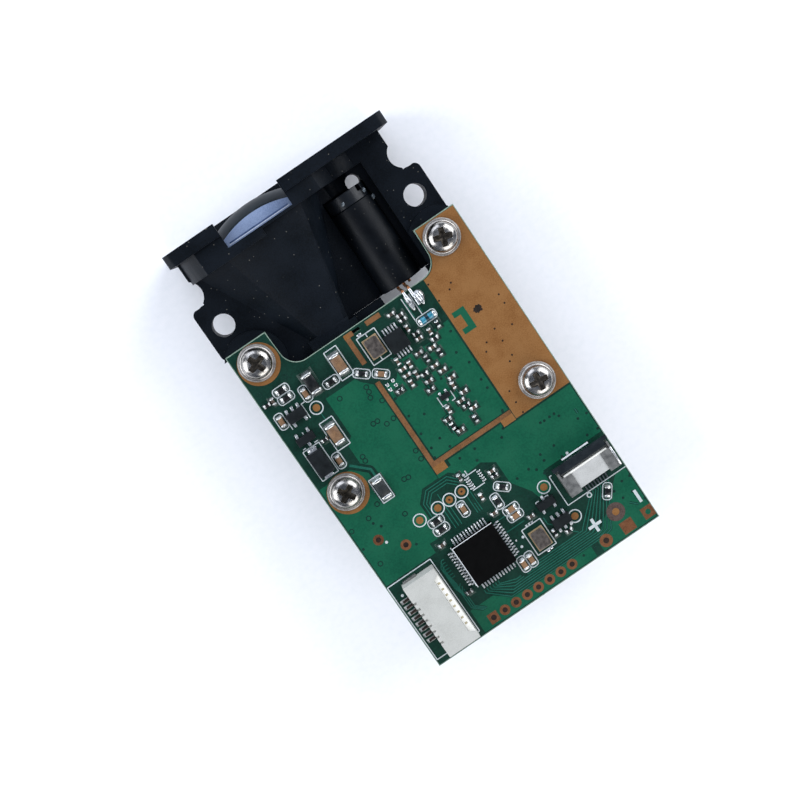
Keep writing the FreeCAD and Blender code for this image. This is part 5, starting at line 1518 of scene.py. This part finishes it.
    def outlined(self, node: str) -> list[list[Vector]]:
        """An outline round every chip of a CAD node, at the middle of the ink's thickness.

        Args:
            node: the chips' bodies.

        Returns:
            The corners of each outline, in metres.
        """
        length, width = self.outline
        runs = []
        for chip in chips_of(node):
            turn = Matrix.Rotation(chip.yaw, 3, "Z")
            foot = Vector((chip.centre.x, chip.centre.y, self.sheet.high.z + self.ink_top / 2 * MM))
            corners = rectangle(length / 2, width / 2, -length / 2, -width / 2)
            runs.append([foot + turn @ Vector((x * MM, y * MM, 0)) for x, y in corners])
        return runs

    def ink(self) -> None:
        """Every printed outline, ring, dot and polarity mark."""
        top = self.ink_top
        capsules = self.outlined("capacitor_bodies_0603") + self.outlined("resistor_bodies_0603")
        low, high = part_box("glass_diode_body")
        middle = (low + high) / 2
        level = self.sheet.high.z + top / 2 * MM
        round_diode = rectangle(-1.58, -0.7, 1.58, 0.7)
        capsules.append([Vector((middle.x + x * MM, middle.y + y * MM, level)) for x, y in round_diode])
        PrintedLines("ink_chip_outlines", capsules, 0.15, top, INK_WHITE, Corner.ROUND).build()
        boxes = [
            rectangle(12.2, 43.2, 14.3, 48.0), rectangle(5.8, 35.1, 8.0, 39.9),
            rectangle(1.45, 32.7, 4.25, 37.8), rectangle(7.0, 24.95, 8.95, 28.95),
            rectangle(17.3, 42.45, 20.4, 47.0), rectangle(21.6, 5.45, 24.9, 9.95),
            rectangle(0.25, 1.0, 7.95, 14.2),
            [(40.0 - 0.15, 9.15), (29.5, 9.15), (29.5, 14.3), (29.9, 14.3)],
            [(18.85, 42.5), (18.85, 43.1)], [(18.85, 46.4), (18.85, 47.0)],
            [(19.0, 21.4), (21.1, 21.4)], [(19.0, 19.05), (21.1, 19.05)],
            [(5.3, 41.4), (5.3, 43.8), (5.9, 43.8)], [(2.2, 41.4), (2.2, 43.0)],
            [(3.05, 40.3), (3.05, 39.7)], [(1.7, 38.1), (2.2, 38.1)], [(3.7, 38.1), (4.3, 38.1)],
            [(25.65, 12.2), (25.65, 11.5)], [(25.65, 12.2), (26.2, 12.2)],
            [(27.2, 12.2), (27.8, 12.2), (27.8, 11.6)],
            [(22.3, 33.4), (22.3, 31.8), (22.9, 31.8)], [(23.9, 31.8), (24.5, 31.8), (24.5, 33.2)],
            [(26.0, 44.5), (26.0, 48.2)], [(27.35, 44.6), (27.35, 48.2)],
            [(19.6, 22.2), (19.6, 21.5)],
        ]
        self.lines("ink_part_outlines", boxes, 0.15, top, INK_WHITE)
        strong = [[(32.45, 15.35), (37.15, 15.35)], [(11.45, 6.9), (11.45, 13.85)]]
        self.lines("ink_wide_lines", strong, 0.24, top, INK_BRIGHT)
        rings = [oval(x, y, 0.97, 0.95, 40) for x, y in TEST_PADS] + [oval(33.0, 8.65, 0.33, 0.33, 24)]
        self.lines("ink_rings", rings, 0.17, top, INK_WHITE)
        signs = [[(30.1, 4.4), (32.3, 4.4)], [(31.2, 3.3), (31.2, 5.5)], [(38.95, 3.35), (38.95, 5.45)]]
        self.lines("ink_polarity_signs", signs, 0.46, top, INK_WHITE)
        spots = [(19.1, 21.75), (21.25, 9.05), (20.3, 7.95), (33.7, 15.75), (1.45, 12.0), (4.05, 19.95)]
        self.marks("ink_dots", disc(0.22, top, 16), spots, INK_WHITE, 8)


# ---- Chip parts ----
@dataclass
class Chip:
    """Where one chip part stands.

    Args:
        centre: the middle of its foot, in metres.
        yaw: the turn of its length about the upright, in radians.
    """

    centre: Vector
    yaw: float


ENDS = "chip_ends_"


def chips_of(node: str) -> list[Chip]:
    """Where the chips of a CAD node stand, from their bodies and their metal ends.

    Args:
        node: the chips' bodies.

    Returns:
        The place of each chip, in the order of their bodies.
    """
    ends = [end.middle for end in solids(ENDS + node[-4:])]
    found = []
    for body in solids(node):
        middle = body.middle
        near = sorted(ends, key=lambda end: (end - middle).length)[:2]
        along = near[1] - near[0]
        found.append(Chip(Vector((middle.x, middle.y, body.low.z)), math.atan2(along.y, along.x)))
    return found


@dataclass
class ChipSize:
    """The sizes of one case of chip part.

    Args:
        length: over its metal ends.
        width: across it.
        height: over its foot.
        cap: length of each metal end.
        toe: how far the solder reaches past each end.
    """

    length: float
    width: float
    height: float
    cap: float
    toe: float

    def core(self) -> BMesh:
        """The fired middle, a little slimmer than the ends."""
        return rounded_box((self.length - 2 * self.cap + 0.04, self.width - 0.03, self.height - 0.02), 0.03)

    def caps(self) -> BMesh:
        """Both metal ends, rounded where they were dipped.

        Returns:
            The shape, in metres.
        """
        middle = (self.length - self.cap) / 2
        size = (self.cap, self.width + 0.02, self.height + 0.02)
        rounding = min(self.height, self.cap) * 0.28
        return joined([rounded_box(size, rounding, 0, side * middle) for side in (-1, 1)])

    def joints(self) -> BMesh:
        """The two solder fillets that rise from the pads onto the ends."""
        return joined([self.fillet(side) for side in (-1, 1)])

    def fillet(self, side: int) -> BMesh:
        """One solder fillet.

        Args:
            side: 1 for the end along the chip, -1 for the other.

        Returns:
            The shape, in metres, a little into the end that it wets.
        """
        shape = bmesh.new()
        rows = []
        steps = 5
        overlap = self.cap * 0.6
        start = self.length / 2 - overlap
        reach = self.toe + overlap
        climb, fall, crown, lean, flare = 1.06, 2.2, 0.35, 0.25, 0.09
        for i in range(steps + 1):
            t = i / steps
            row = []
            for j in range(steps + 1):
                s = 2 * j / steps - 1
                rise = self.height * climb * (1 - t**fall) * (1 - crown * s * s) * (1 - lean * t)
                half = (self.width / 2 + flare) * math.sqrt(max(1 - (0.62 * t) ** 3, 0))
                along = side * (start + reach * t)
                row.append(shape.verts.new((along * MM, s * half * MM, (rise - 0.04) * MM)))
            rows.append(row)
        floor = [[shape.verts.new((v.co.x, v.co.y, -0.045 * MM)) for v in (row[0], row[-1])] for row in rows]
        for near, far in zip(rows, rows[1:]):
            for j in range(steps):
                shape.faces.new((near[j], far[j], far[j + 1], near[j + 1]))
        for (near, far), (low, beyond) in zip(zip(rows, rows[1:]), zip(floor, floor[1:])):
            shape.faces.new((near[0], low[0], beyond[0], far[0]))
            shape.faces.new((near[-1], far[-1], beyond[1], low[1]))
            shape.faces.new((low[0], low[1], beyond[1], beyond[0]))
        shape.faces.new([floor[0][0], *rows[0], floor[0][1]])
        shape.faces.new([floor[-1][1], *reversed(rows[-1]), floor[-1][0]])
        bmesh.ops.recalc_face_normals(shape, faces=shape.faces)
        return shape


@dataclass
class ChipParts:
    """Every capacitor, resistor and bead, with its ends, its solder and a darker ring round it, partly the
    bare mask and partly painted shade.

    Args:
        sizes: the sizes of each case.
        margin: width of the darker ring round each chip.
        finishes: the finish of each CAD node's bodies.
    """

    sizes: dict[str, ChipSize] = field(
        default_factory=lambda: {
            "0402": ChipSize(1.0, 0.5, 0.4, 0.27, 0.2),
            "0603": ChipSize(1.6, 0.8, 0.5, 0.35, 0.22),
            "1206": ChipSize(3.2, 1.6, 0.9, 0.55, 0.3),
        }
    )
    margin: float = 0.4
    finishes: dict[str, Finish] = field(
        default_factory=lambda: {
            "capacitor_bodies_0402": CERAMIC_BROWN,
            "resistor_bodies_0402": RESISTOR_GLAZE,
            "capacitor_bodies_0603": CERAMIC_TAN,
            "resistor_bodies_0603": RESISTOR_GLAZE,
            "capacitor_bodies_1206": CERAMIC_TAN,
            "bead_bodies_1206": FERRITE_GREY,
        }
    )

    def build(self) -> None:
        """Builds each case's bodies, then its ends and its solder."""
        for case, size in self.sizes.items():
            everywhere = []
            for node, finish in self.finishes.items():
                if not node.endswith(case):
                    continue
                places = [(chip.centre, chip.yaw) for chip in chips_of(node)]
                everywhere += places
                inked = [place for place in places if node.startswith("bead") and place[0].y > 0]
                plain = [place for place in places if place not in inked]
                Repeats(node.replace("bodies", "cores"), size.core(), plain, finish, tone=0.22).build([node])
                if inked:
                    Repeats("resistor_cores_1206", size.core(), inked, RESISTOR_GLAZE).build()
            Repeats(f"dipped_ends_{case}", size.caps(), everywhere, TIN_ENDS, tone=0.2).build([ENDS + case])
            Repeats(f"solder_fillets_{case}", size.joints(), everywhere, SOLDER, tone=0.2, sharp=80).build()
            self.surround(case, size, everywhere)

    def surround(self, case: str, size: ChipSize, places: list[tuple[Vector, float]]) -> None:
        """A darker ring round each chip: partly the bare ring in the copper pour that shows through the mask,
        partly painted shade round the part.

        Args:
            case: the case's name.
            size: the case's sizes.
            places: where its chips stand.
        """
        low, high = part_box("circuit_board")
        length = size.length + 2 * size.toe + self.margin
        plate = rounded_box((length, size.width + 2 * self.margin, 0.01), 0.003)
        reach = (size.length / 2 + size.toe + self.margin) * MM
        inner = [place for place in places if low.x + reach < place[0].x < high.x - reach]
        ground = [(Vector((point.x, point.y, high.z)), yaw) for point, yaw in inner]
        # the darker plates are partly painted shade round the chips
        Repeats(f"mask_gaps_round_{case}", plate, ground, MASK_DARK, wander=0.03).build()


# ---- Packaged parts ----
@dataclass
class Package:
    """A moulded part with gull-wing leads.

    Args:
        body: the CAD node of its body.
        leads: the CAD node of its leads.
        name: the words that its pieces' names start with.
        edge: rounding of its body's edges.
        toe_width: width of the solder at each lead's toe.
        toe_reach: length of that solder.
        finish: the body's finish.
        toe_height: height of the solder.
        toe_sink: how far it starts below the lead's foot.
    """

    body: str
    leads: str
    name: str
    edge: float = 0.05
    toe_width: float = 0.3
    toe_reach: float = 0.55
    finish: Finish = EPOXY_BLACK
    toe_height: float = 0.2
    toe_sink: float = 0.03

    def build(self) -> None:
        """Builds and dresses the body, the leads and their solder."""
        copied(f"{self.name}_moulding", self.body, self.finish, self.edge)
        legs = baked(merged(self.leads), "legs", 20)
        piece(f"{self.name}_legs", legs, TIN_LEGS, stands_for=[self.leads], edge_mm=0.02, steps=1)
        start, end = (Vector((side * self.toe_reach / 2, 0, -self.toe_sink)) * MM for side in (-1, 1))
        toe = mound(start, end, self.toe_width, self.toe_height)
        places = [self.toe_of(lead) for lead in solids(self.leads)]
        Repeats(f"{self.name}_toe_solder", toe, places, SOLDER, sharp=80, tone=0.15).build()

    def toe_of(self, lead: Solid) -> tuple[Vector, float]:
        """The middle of a lead's foot and the way that the lead points.

        Args:
            lead: the lead.

        Returns:
            A point in metres and a turn about the upright in radians.
        """
        foot = [p for p in lead.points if p.z < lead.low.z + 0.02 * MM]
        knee = [p for p in lead.points if p.z > lead.high.z - 0.02 * MM]
        middle = sum(foot, Vector()) / len(foot)
        above = sum(knee, Vector()) / len(knee)
        along = middle - above
        return Vector((middle.x, middle.y, lead.low.z)), math.atan2(along.y, along.x)


@dataclass
class Packages:
    """All moulded parts, the crystals and the diodes.

    Args:
        label_inset: from the processor's sides to its label's.
    """

    label_inset: float = 0.06

    def build(self) -> None:
        """Builds and dresses each of them."""
        Package("microcontroller_body", "microcontroller_leads", "processor", 0.06, finish=EPOXY_JET).build()
        self.label_edges()
        Package("amplifier_body", "amplifier_leads", "amplifier", 0.05).build()
        Package("regulator_body", "regulator_leads", "regulator", 0.05, 0.5, 0.5).build()
        Package("interface_chip_body", "interface_chip_leads", "interface_chip", 0.05, 0.5, 0.5).build()
        Package("transistor_bodies", "transistor_leads", "transistor", 0.05, 0.46, 0.45).build()
        Package("power_diode_body", "power_diode_tabs", "power_diode", 0.08, 1.5, 0.6).build()
        copied("crystal_ceramics", "crystal_bases", CRYSTAL_BASE, 0.05)
        copied("crystal_lids_welded", "crystal_lids", CRYSTAL_LID, 0.06)
        copied("glass_diode_tube", "glass_diode_body", DIODE_GLASS, 0.05)
        low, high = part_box("glass_diode_body")
        ring = lathed([(0.0, -0.26), (0.53, -0.24), (0.53, 0.24), (0.0, 0.26)], 24)
        bmesh.ops.rotate(ring, verts=ring.verts, matrix=Matrix.Rotation(math.pi / 2, 3, "Y"))
        bmesh.ops.translate(ring, verts=ring.verts, vec=(low + high) / 2)
        piece("glass_diode_die", baked(ring, "glass_diode_die"), DIE_DARK)
        copied("glass_diode_caps", "glass_diode_ends", TIN_ENDS, 0.08)

    def label_edges(self) -> None:
        """Painted highlights along two of the processor's top edges, laid as thin pale lines at its label's
        sides.
        """
        low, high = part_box("microcontroller_body")
        inset = Vector((self.label_inset, self.label_inset, 0)) * MM
        low_corner, high_corner = low + inset, high - inset
        top = high.z + 0.006 * MM
        left = [Vector((low_corner.x, y, top)) for y in (low_corner.y, high_corner.y)]
        front = [Vector((x, high_corner.y, top)) for x in (low_corner.x, high_corner.x)]
        # painted highlights, in the thick ink's finish
        PrintedLines("processor_label_edges", [left, front], 0.08, 0.02, INK_BRIGHT).build()


# ---- Connectors ----
@dataclass
class WireConnector:
    """The side-entry wire header.

    Args:
        edge: rounding of its shell's edges.
        strip_low: height of the floor of the recess over its mouth, over the board.
        strip_high: height of the strip in that recess.
        ways: how many contacts it has.
    """

    edge: float = 0.07
    strip_low: float = 2.42
    strip_high: float = 2.72
    ways: int = 8

    def build(self) -> None:
        """Builds and dresses the shell, the contacts and the tabs."""
        copied("wire_header_shell", "wire_connector_shell", NYLON_CREAM, self.edge)
        copied("wire_header_contacts", "wire_connector_contacts", TIN_LEGS, 0.03)
        copied("wire_header_tabs", "wire_connector_tabs", TAB_NICKEL, 0.04)
        self.latch_strip()
        self.tail_pads()

    def latch_strip(self) -> None:
        """The strip over the mouth, paler with painted light, with a slot above each contact."""
        sheet = Sheet()
        base = sheet.high.z
        outline = [(7.66, 1.75), (7.66, 12.45), (6.72, 11.8), (6.72, 2.4)]
        shape = bmesh.new()
        prism(shape, sheet.run(outline, 0), base + self.strip_low * MM, base + self.strip_high * MM)
        # the strip's paler nylon is painted light
        piece("wire_header_latch_strip", baked(shape, "wire_header_latch_strip"), NYLON_PAINTED_LIT, edge_mm=0.03)
        slot = rounded_box((0.42, 0.34, self.strip_high - self.strip_low), 0.02)
        places = [(sheet.at(7.1, 3.95 + 1.02 * i, self.strip_low + 0.012), 0.0) for i in range(self.ways)]
        Repeats("wire_header_slots", slot, places, NYLON_TAN, tone=0.1).build()

    def tail_pads(self) -> None:
        """The tinned pad under each contact's tail, and a dark strip of painted shade over each tail."""
        sheet = Sheet()
        pad = rounded_box((1.7, 0.66, 0.05), 0.02)
        # painted shade laid over each tail
        dark = rounded_box((1.3, 0.4, 0.05), 0.02)
        pads = []
        darks = []
        for tail in solids("wire_connector_contacts"):
            if tail.low.z < sheet.high.z + 0.1 * MM:
                x, y = tail.middle.x - 0.05 * MM, tail.middle.y
                pads.append((Vector((x, y, sheet.high.z)), 0.0))
                darks.append((Vector((x + 0.1 * MM, y, tail.high.z - 0.03 * MM)), 0.0))
        Repeats("wire_header_pads", pad, pads, TAB_NICKEL, tone=0.1).build()
        Repeats("wire_header_tail_shades", dark, darks, HOLE_DARK).build()


@dataclass
class FlexConnector:
    """The flat-cable connector with its flip lock.

    Args:
        edge: rounding of its moulded edges.
        lip: thickness of the white lip behind the lever.
        lip_foot: height of the lip's foot over the housing's.
        lip_margin: from each end of the housing to the lip's.
        cheek: thickness of the painted highlight on the outer lug's cheek.
        clearance: from both of them to the lever.
    """

    edge: float = 0.05
    lip: float = 0.24
    lip_foot: float = 0.62
    lip_margin: float = 0.35
    cheek: float = 0.28
    clearance: float = 0.12

    def build(self) -> None:
        """Builds and dresses the housing, the lugs, the contacts and the lever."""
        copied("flex_socket_housing", "flex_connector_housing", POLYMER_WHITE, self.edge)
        self.lugs()
        copied("flex_socket_contacts", "flex_connector_contacts", TAIL_GREY, 0.02)
        copied("flip_lock_lever", "flex_lock_lever", LEVER_BLACK, 0.06, Body.LEVER)

    def lugs(self) -> None:
        """The hold-down lugs with a painted highlight on the outer one's cheek, and the white lip between
        them, paler with painted light.
        """
        copied("flex_socket_lugs", "flex_connector_lugs", TAB_NICKEL, 0.03)
        low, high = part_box("flex_connector_housing")
        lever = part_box("flex_lock_lever")[0].y
        length, height = (high.x - low.x) / MM, (high.z - low.z) / MM
        size = (length - 2 * self.lip_margin, self.lip, height - self.lip_foot)
        lip = rounded_box(size, 0.03)
        behind = lever - (self.lip / 2 + self.clearance) * MM
        place = Vector(((low.x + high.x) / 2, behind, low.z + self.lip_foot * MM))
        # the lip's paler nylon is painted light
        Repeats("flex_socket_lip", lip, [(place, 0.0)], NYLON_PAINTED_LIT).build()
        lug_low, lug_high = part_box("flex_connector_lugs")
        reach = min(lug_high.y, lever - self.clearance * MM)
        # painted highlight: a bright tin strip along the outer lug's cheek
        edge = rounded_box((self.cheek, (reach - lug_low.y) / MM - 0.3, 0.1), 0.02)
        place = Vector((lug_high.x - 0.6 * self.cheek * MM, (lug_low.y + reach) / 2, lug_high.z - 0.03 * MM))
        Repeats("flex_lug_cheek", edge, [(place, 0.0)], TIN_LEGS).build()


# ---- Fasteners ----
@dataclass
class Fasteners:
    """The four screws and their washers.

    Args:
        head_radius: radius of a screw's head.
        head_height: height of its head.
        shank_radius: radius of its thread.
        thread_pitch: pitch of its thread.
        recess_reach: length of each wing of its cross recess.
        recess_half: half-width of each wing.
        recess_depth: depth of the recess at its middle.
        recess_draft: how far the walls at a wing's end and at its sides lean in.
        dome: how much of the head's height its dome takes.
        core: radius between two threads, as a share of the thread's.
    """

    head_radius: float = 2.28
    head_height: float = 1.7
    shank_radius: float = 1.15
    thread_pitch: float = 0.5
    recess_reach: float = 1.38
    recess_half: float = 0.43
    recess_depth: float = 1.05
    recess_draft: Point = (0.14, 0.16)
    dome: float = 0.78
    core: float = 0.84

    def build(self) -> None:
        """Builds and dresses screws and washers."""
        screws = solids("mounting_screws")
        depth = (screws[-1].high.z - screws[-1].low.z) / MM
        tops = [Vector((screw.middle.x, screw.middle.y, screw.high.z)) for screw in screws]
        places = [(top, 0.35 + 0.9 * i) for i, top in enumerate(tops)]
        heads = Repeats("pan_head_screws", self.head(), places, SCREW_NICKEL, tone=0.05, sharp=40)
        heads.build(["mounting_screws"])
        # dark inserts in the screws' recesses: painted shade
        Repeats("driver_recesses", self.recess(), places, RECESS_PAINTED_SHADE, tone=0.2).build()
        Repeats("screw_threads", self.thread(depth), places, SCREW_NICKEL, tone=0.05).build()
        outer = [(0, 0), (2.7, 0), (2.78, 0.1), (2.78, 0.34), (2.7, 0.44)]
        inner = [(2.58, 0.46), (2.5, 0.4), (2.42, 0.4), (2.34, 0.47), (2.2, 0.48), (0, 0.48)]
        feet = [(Vector((w.middle.x, w.middle.y, w.low.z)), 0.0) for w in solids("screw_washers")]
        washers = Repeats("stamped_washers", lathed(outer + inner, 72), feet, WASHER_ZINC, tone=0.1, sharp=40)
        washers.build(["screw_washers"])

    def crown(self, x: float, y: float) -> float:
        """Height of the head's top over a point, below its own highest point.

        Args:
            x: distance from the axis along one wing of the recess.
            y: distance along the other.

        Returns:
            A height in millimetres, at most 0.
        """
        share = min(math.hypot(x, y) / self.head_radius, 1.0)
        edge = 0.985  # under one, so that the dome's rim isn't quite upright
        dome = self.head_height * self.dome * (1 - math.sqrt(max(1 - share**3.2 * edge, 0)))
        return -dome - max(self.wing(x, y), self.wing(y, x))

    def wing(self, along: float, aside: float) -> float:
        """Depth that one pair of wings cuts at a point: they narrow and rise outwards.

        Args:
            along: distance from the axis along the wings.
            aside: distance from the axis across them.

        Returns:
            A depth in millimetres, 0 outside the wings.
        """
        out = abs(along) / self.recess_reach
        half = self.recess_half * (1.15 - 0.25 * out)
        reach = min(max((self.recess_reach - abs(along)) / self.recess_draft[0], 0.0), 1.0)
        breadth = min(max((half - abs(aside)) / self.recess_draft[1], 0.0), 1.0)
        return self.recess_depth * (1 - 0.45 * out) * reach * breadth

    def recess(self) -> BMesh:
        """A dark floor in the cross recess, painted shade: deepest in the middle, its wings rising outwards.

        Returns:
            The shape, its origin at the head's highest point.
        """
        shape = bmesh.new()
        reach, half = self.recess_reach - 0.12, self.recess_half - 0.06
        rim = []
        for i in range(4):
            turn = Matrix.Rotation(i * math.pi / 2, 3, "Z")
            wing = ((half, -half, -0.5), (reach, -half * 0.8, -0.46), (reach, half * 0.8, -0.46))
            rim += [turn @ Vector(p) for p in wing]
        top = [shape.verts.new(p * MM) for p in rim]
        foot = [shape.verts.new(Vector((p.x, p.y, -1.2)) * MM) for p in rim]
        band(shape, top, [shape.verts.new((0, 0, -0.8 * MM))])
        band(shape, foot, top)
        shape.faces.new(foot[::-1])
        return shape

    def head(self) -> BMesh:
        """The pan head, its highest point at its own origin.

        Returns:
            The shape, in metres.
        """
        rings, ways = 36, 112
        shape = bmesh.new()
        before = [shape.verts.new((0, 0, self.crown(0, 0) * MM))]
        for i in range(1, rings + 1):
            around = circle(0, 0, self.head_radius * (i / rings) ** 0.9, ways)
            after = [shape.verts.new((p.x * MM, p.y * MM, self.crown(p.x, p.y) * MM)) for p in around]
            band(shape, after, before)
            before = after
        under = [shape.verts.new((v.co.x, v.co.y, -self.head_height * MM)) for v in before]
        band(shape, under, before)
        shape.faces.new(under[::-1])
        return shape

    def thread(self, depth: float) -> BMesh:
        """The threaded shank under the head.

        Args:
            depth: from the head's top to the shank's end.

        Returns:
            The shape, its top at the head's underside.
        """
        profile: list[Point] = [(0.0, -depth), (self.shank_radius * 0.7, -depth)]
        level = -depth + 0.3
        while level < -self.head_height - self.thread_pitch:
            profile.append((self.shank_radius * self.core, level))
            profile.append((self.shank_radius, level + self.thread_pitch / 2))
            level += self.thread_pitch
        under = -self.head_height - 0.05
        profile += [(self.shank_radius * self.core, under), (0.0, under)]
        return lathed(profile, 28)


# ---- Studio ----
@dataclass
class Lamp:
    """One soft area light.

    Args:
        name: its name.
        place: where it hangs, in metres.
        size: its width in metres.
        power: its power in watts.
        tint: its colour.
    """

    name: str
    place: tuple[float, float, float]
    size: float
    power: float
    tint: str


@dataclass
class Studio:
    """A pale floor, soft light and the camera.

    Args:
        eye: the camera's place in millimetres.
        turn: the camera's turns about X, Y and Z in degrees.
        lens: its focal length in millimetres on a 36 mm sensor.
        lamps: the soft lights.
        sky: the room's colour.
        sky_strength: its strength.
        floor_side: half the floor's side in metres.
        floor_gap: from the floor up to the module, in metres.
    """

    eye: tuple[float, float, float] = (-2.31, 30.02, 231.47)
    turn: tuple[float, float, float] = (-6.432, -4.447, -34.044)
    lens: float = 68.2
    lamps: tuple[Lamp, ...] = (
        Lamp("window_right", (0.42, 0.14, 0.24), 0.40, 2.5, "#f6f9ff"),
        Lamp("window_left", (-0.42, 0.12, 0.24), 0.40, 2.4, "#f4f8ff"),
        Lamp("fill_rear", (0.02, -0.46, 0.25), 0.40, 1.8, "#ffffff"),
        Lamp("fill_front", (-0.02, 0.48, 0.22), 0.36, 1.2, "#e8efff"),
    )
    sky: str = "#cbd9f4"
    sky_strength: float = 0.28
    floor_side: float = 3.0
    floor_gap: float = 0.0002

    def build(self) -> None:
        """Builds the floor, the lights, the world and the camera."""
        self.floor()
        for lamp in self.lamps:
            light = bpy.data.lights.new(lamp.name, "AREA")
            light.shape = "SQUARE"
            light.size = lamp.size
            light.energy = lamp.power
            light.color = linear(lamp.tint)[:3]
            hung = bpy.data.objects.new(lamp.name, light)
            hung.location = lamp.place
            hung.rotation_euler = (-Vector(lamp.place)).to_track_quat("-Z", "Y").to_euler()
            bpy.context.scene.collection.objects.link(hung)
        world = bpy.data.worlds.new("pale_room")
        world.use_nodes = True
        room = world.node_tree.nodes["Background"]
        room.inputs["Color"].default_value = linear(self.sky)
        room.inputs["Strength"].default_value = self.sky_strength
        bpy.context.scene.world = world
        bpy.context.scene.view_settings.view_transform = "Standard"
        self.camera()

    def floor(self) -> None:
        """A wide flat sheet of pale paper."""
        side = self.floor_side
        mesh = bpy.data.meshes.new("floor")
        corners = [(-side, -side, 0), (side, -side, 0), (side, side, 0), (-side, side, 0)]
        mesh.from_pydata(corners, [], [(0, 1, 2, 3)])
        floor = bpy.data.objects.new("floor", mesh)
        floor.location.z = -self.floor_gap
        mesh.materials.append(PAPER.material())
        bpy.context.scene.collection.objects.link(floor)

    def camera(self) -> None:
        """The camera, looking down on the board."""
        data = bpy.data.cameras.new("camera")
        data.lens = self.lens
        data.sensor_width = 36.0
        data.clip_start = 0.01
        data.clip_end = 20.0
        camera = bpy.data.objects.new("camera", data)
        camera.location = Vector(self.eye) * MM
        camera.rotation_euler = [math.radians(t) for t in self.turn]
        bpy.context.scene.collection.objects.link(camera)
        bpy.context.scene.camera = camera


def main() -> None:
    """Builds the whole module, then its studio."""
    logging.basicConfig(level=logging.INFO, format="%(message)s")
    for assembly in (
        OpticalBench(),
        Receiver(),
        LaserHead(),
        CircuitBoard(),
        ChipParts(),
        Packages(),
        WireConnector(),
        FlexConnector(),
        Fasteners(),
        Studio(),
    ):
        LOG.info("-- %s", type(assembly).__name__)
        assembly.build()


if __name__ == "__main__":
    main()
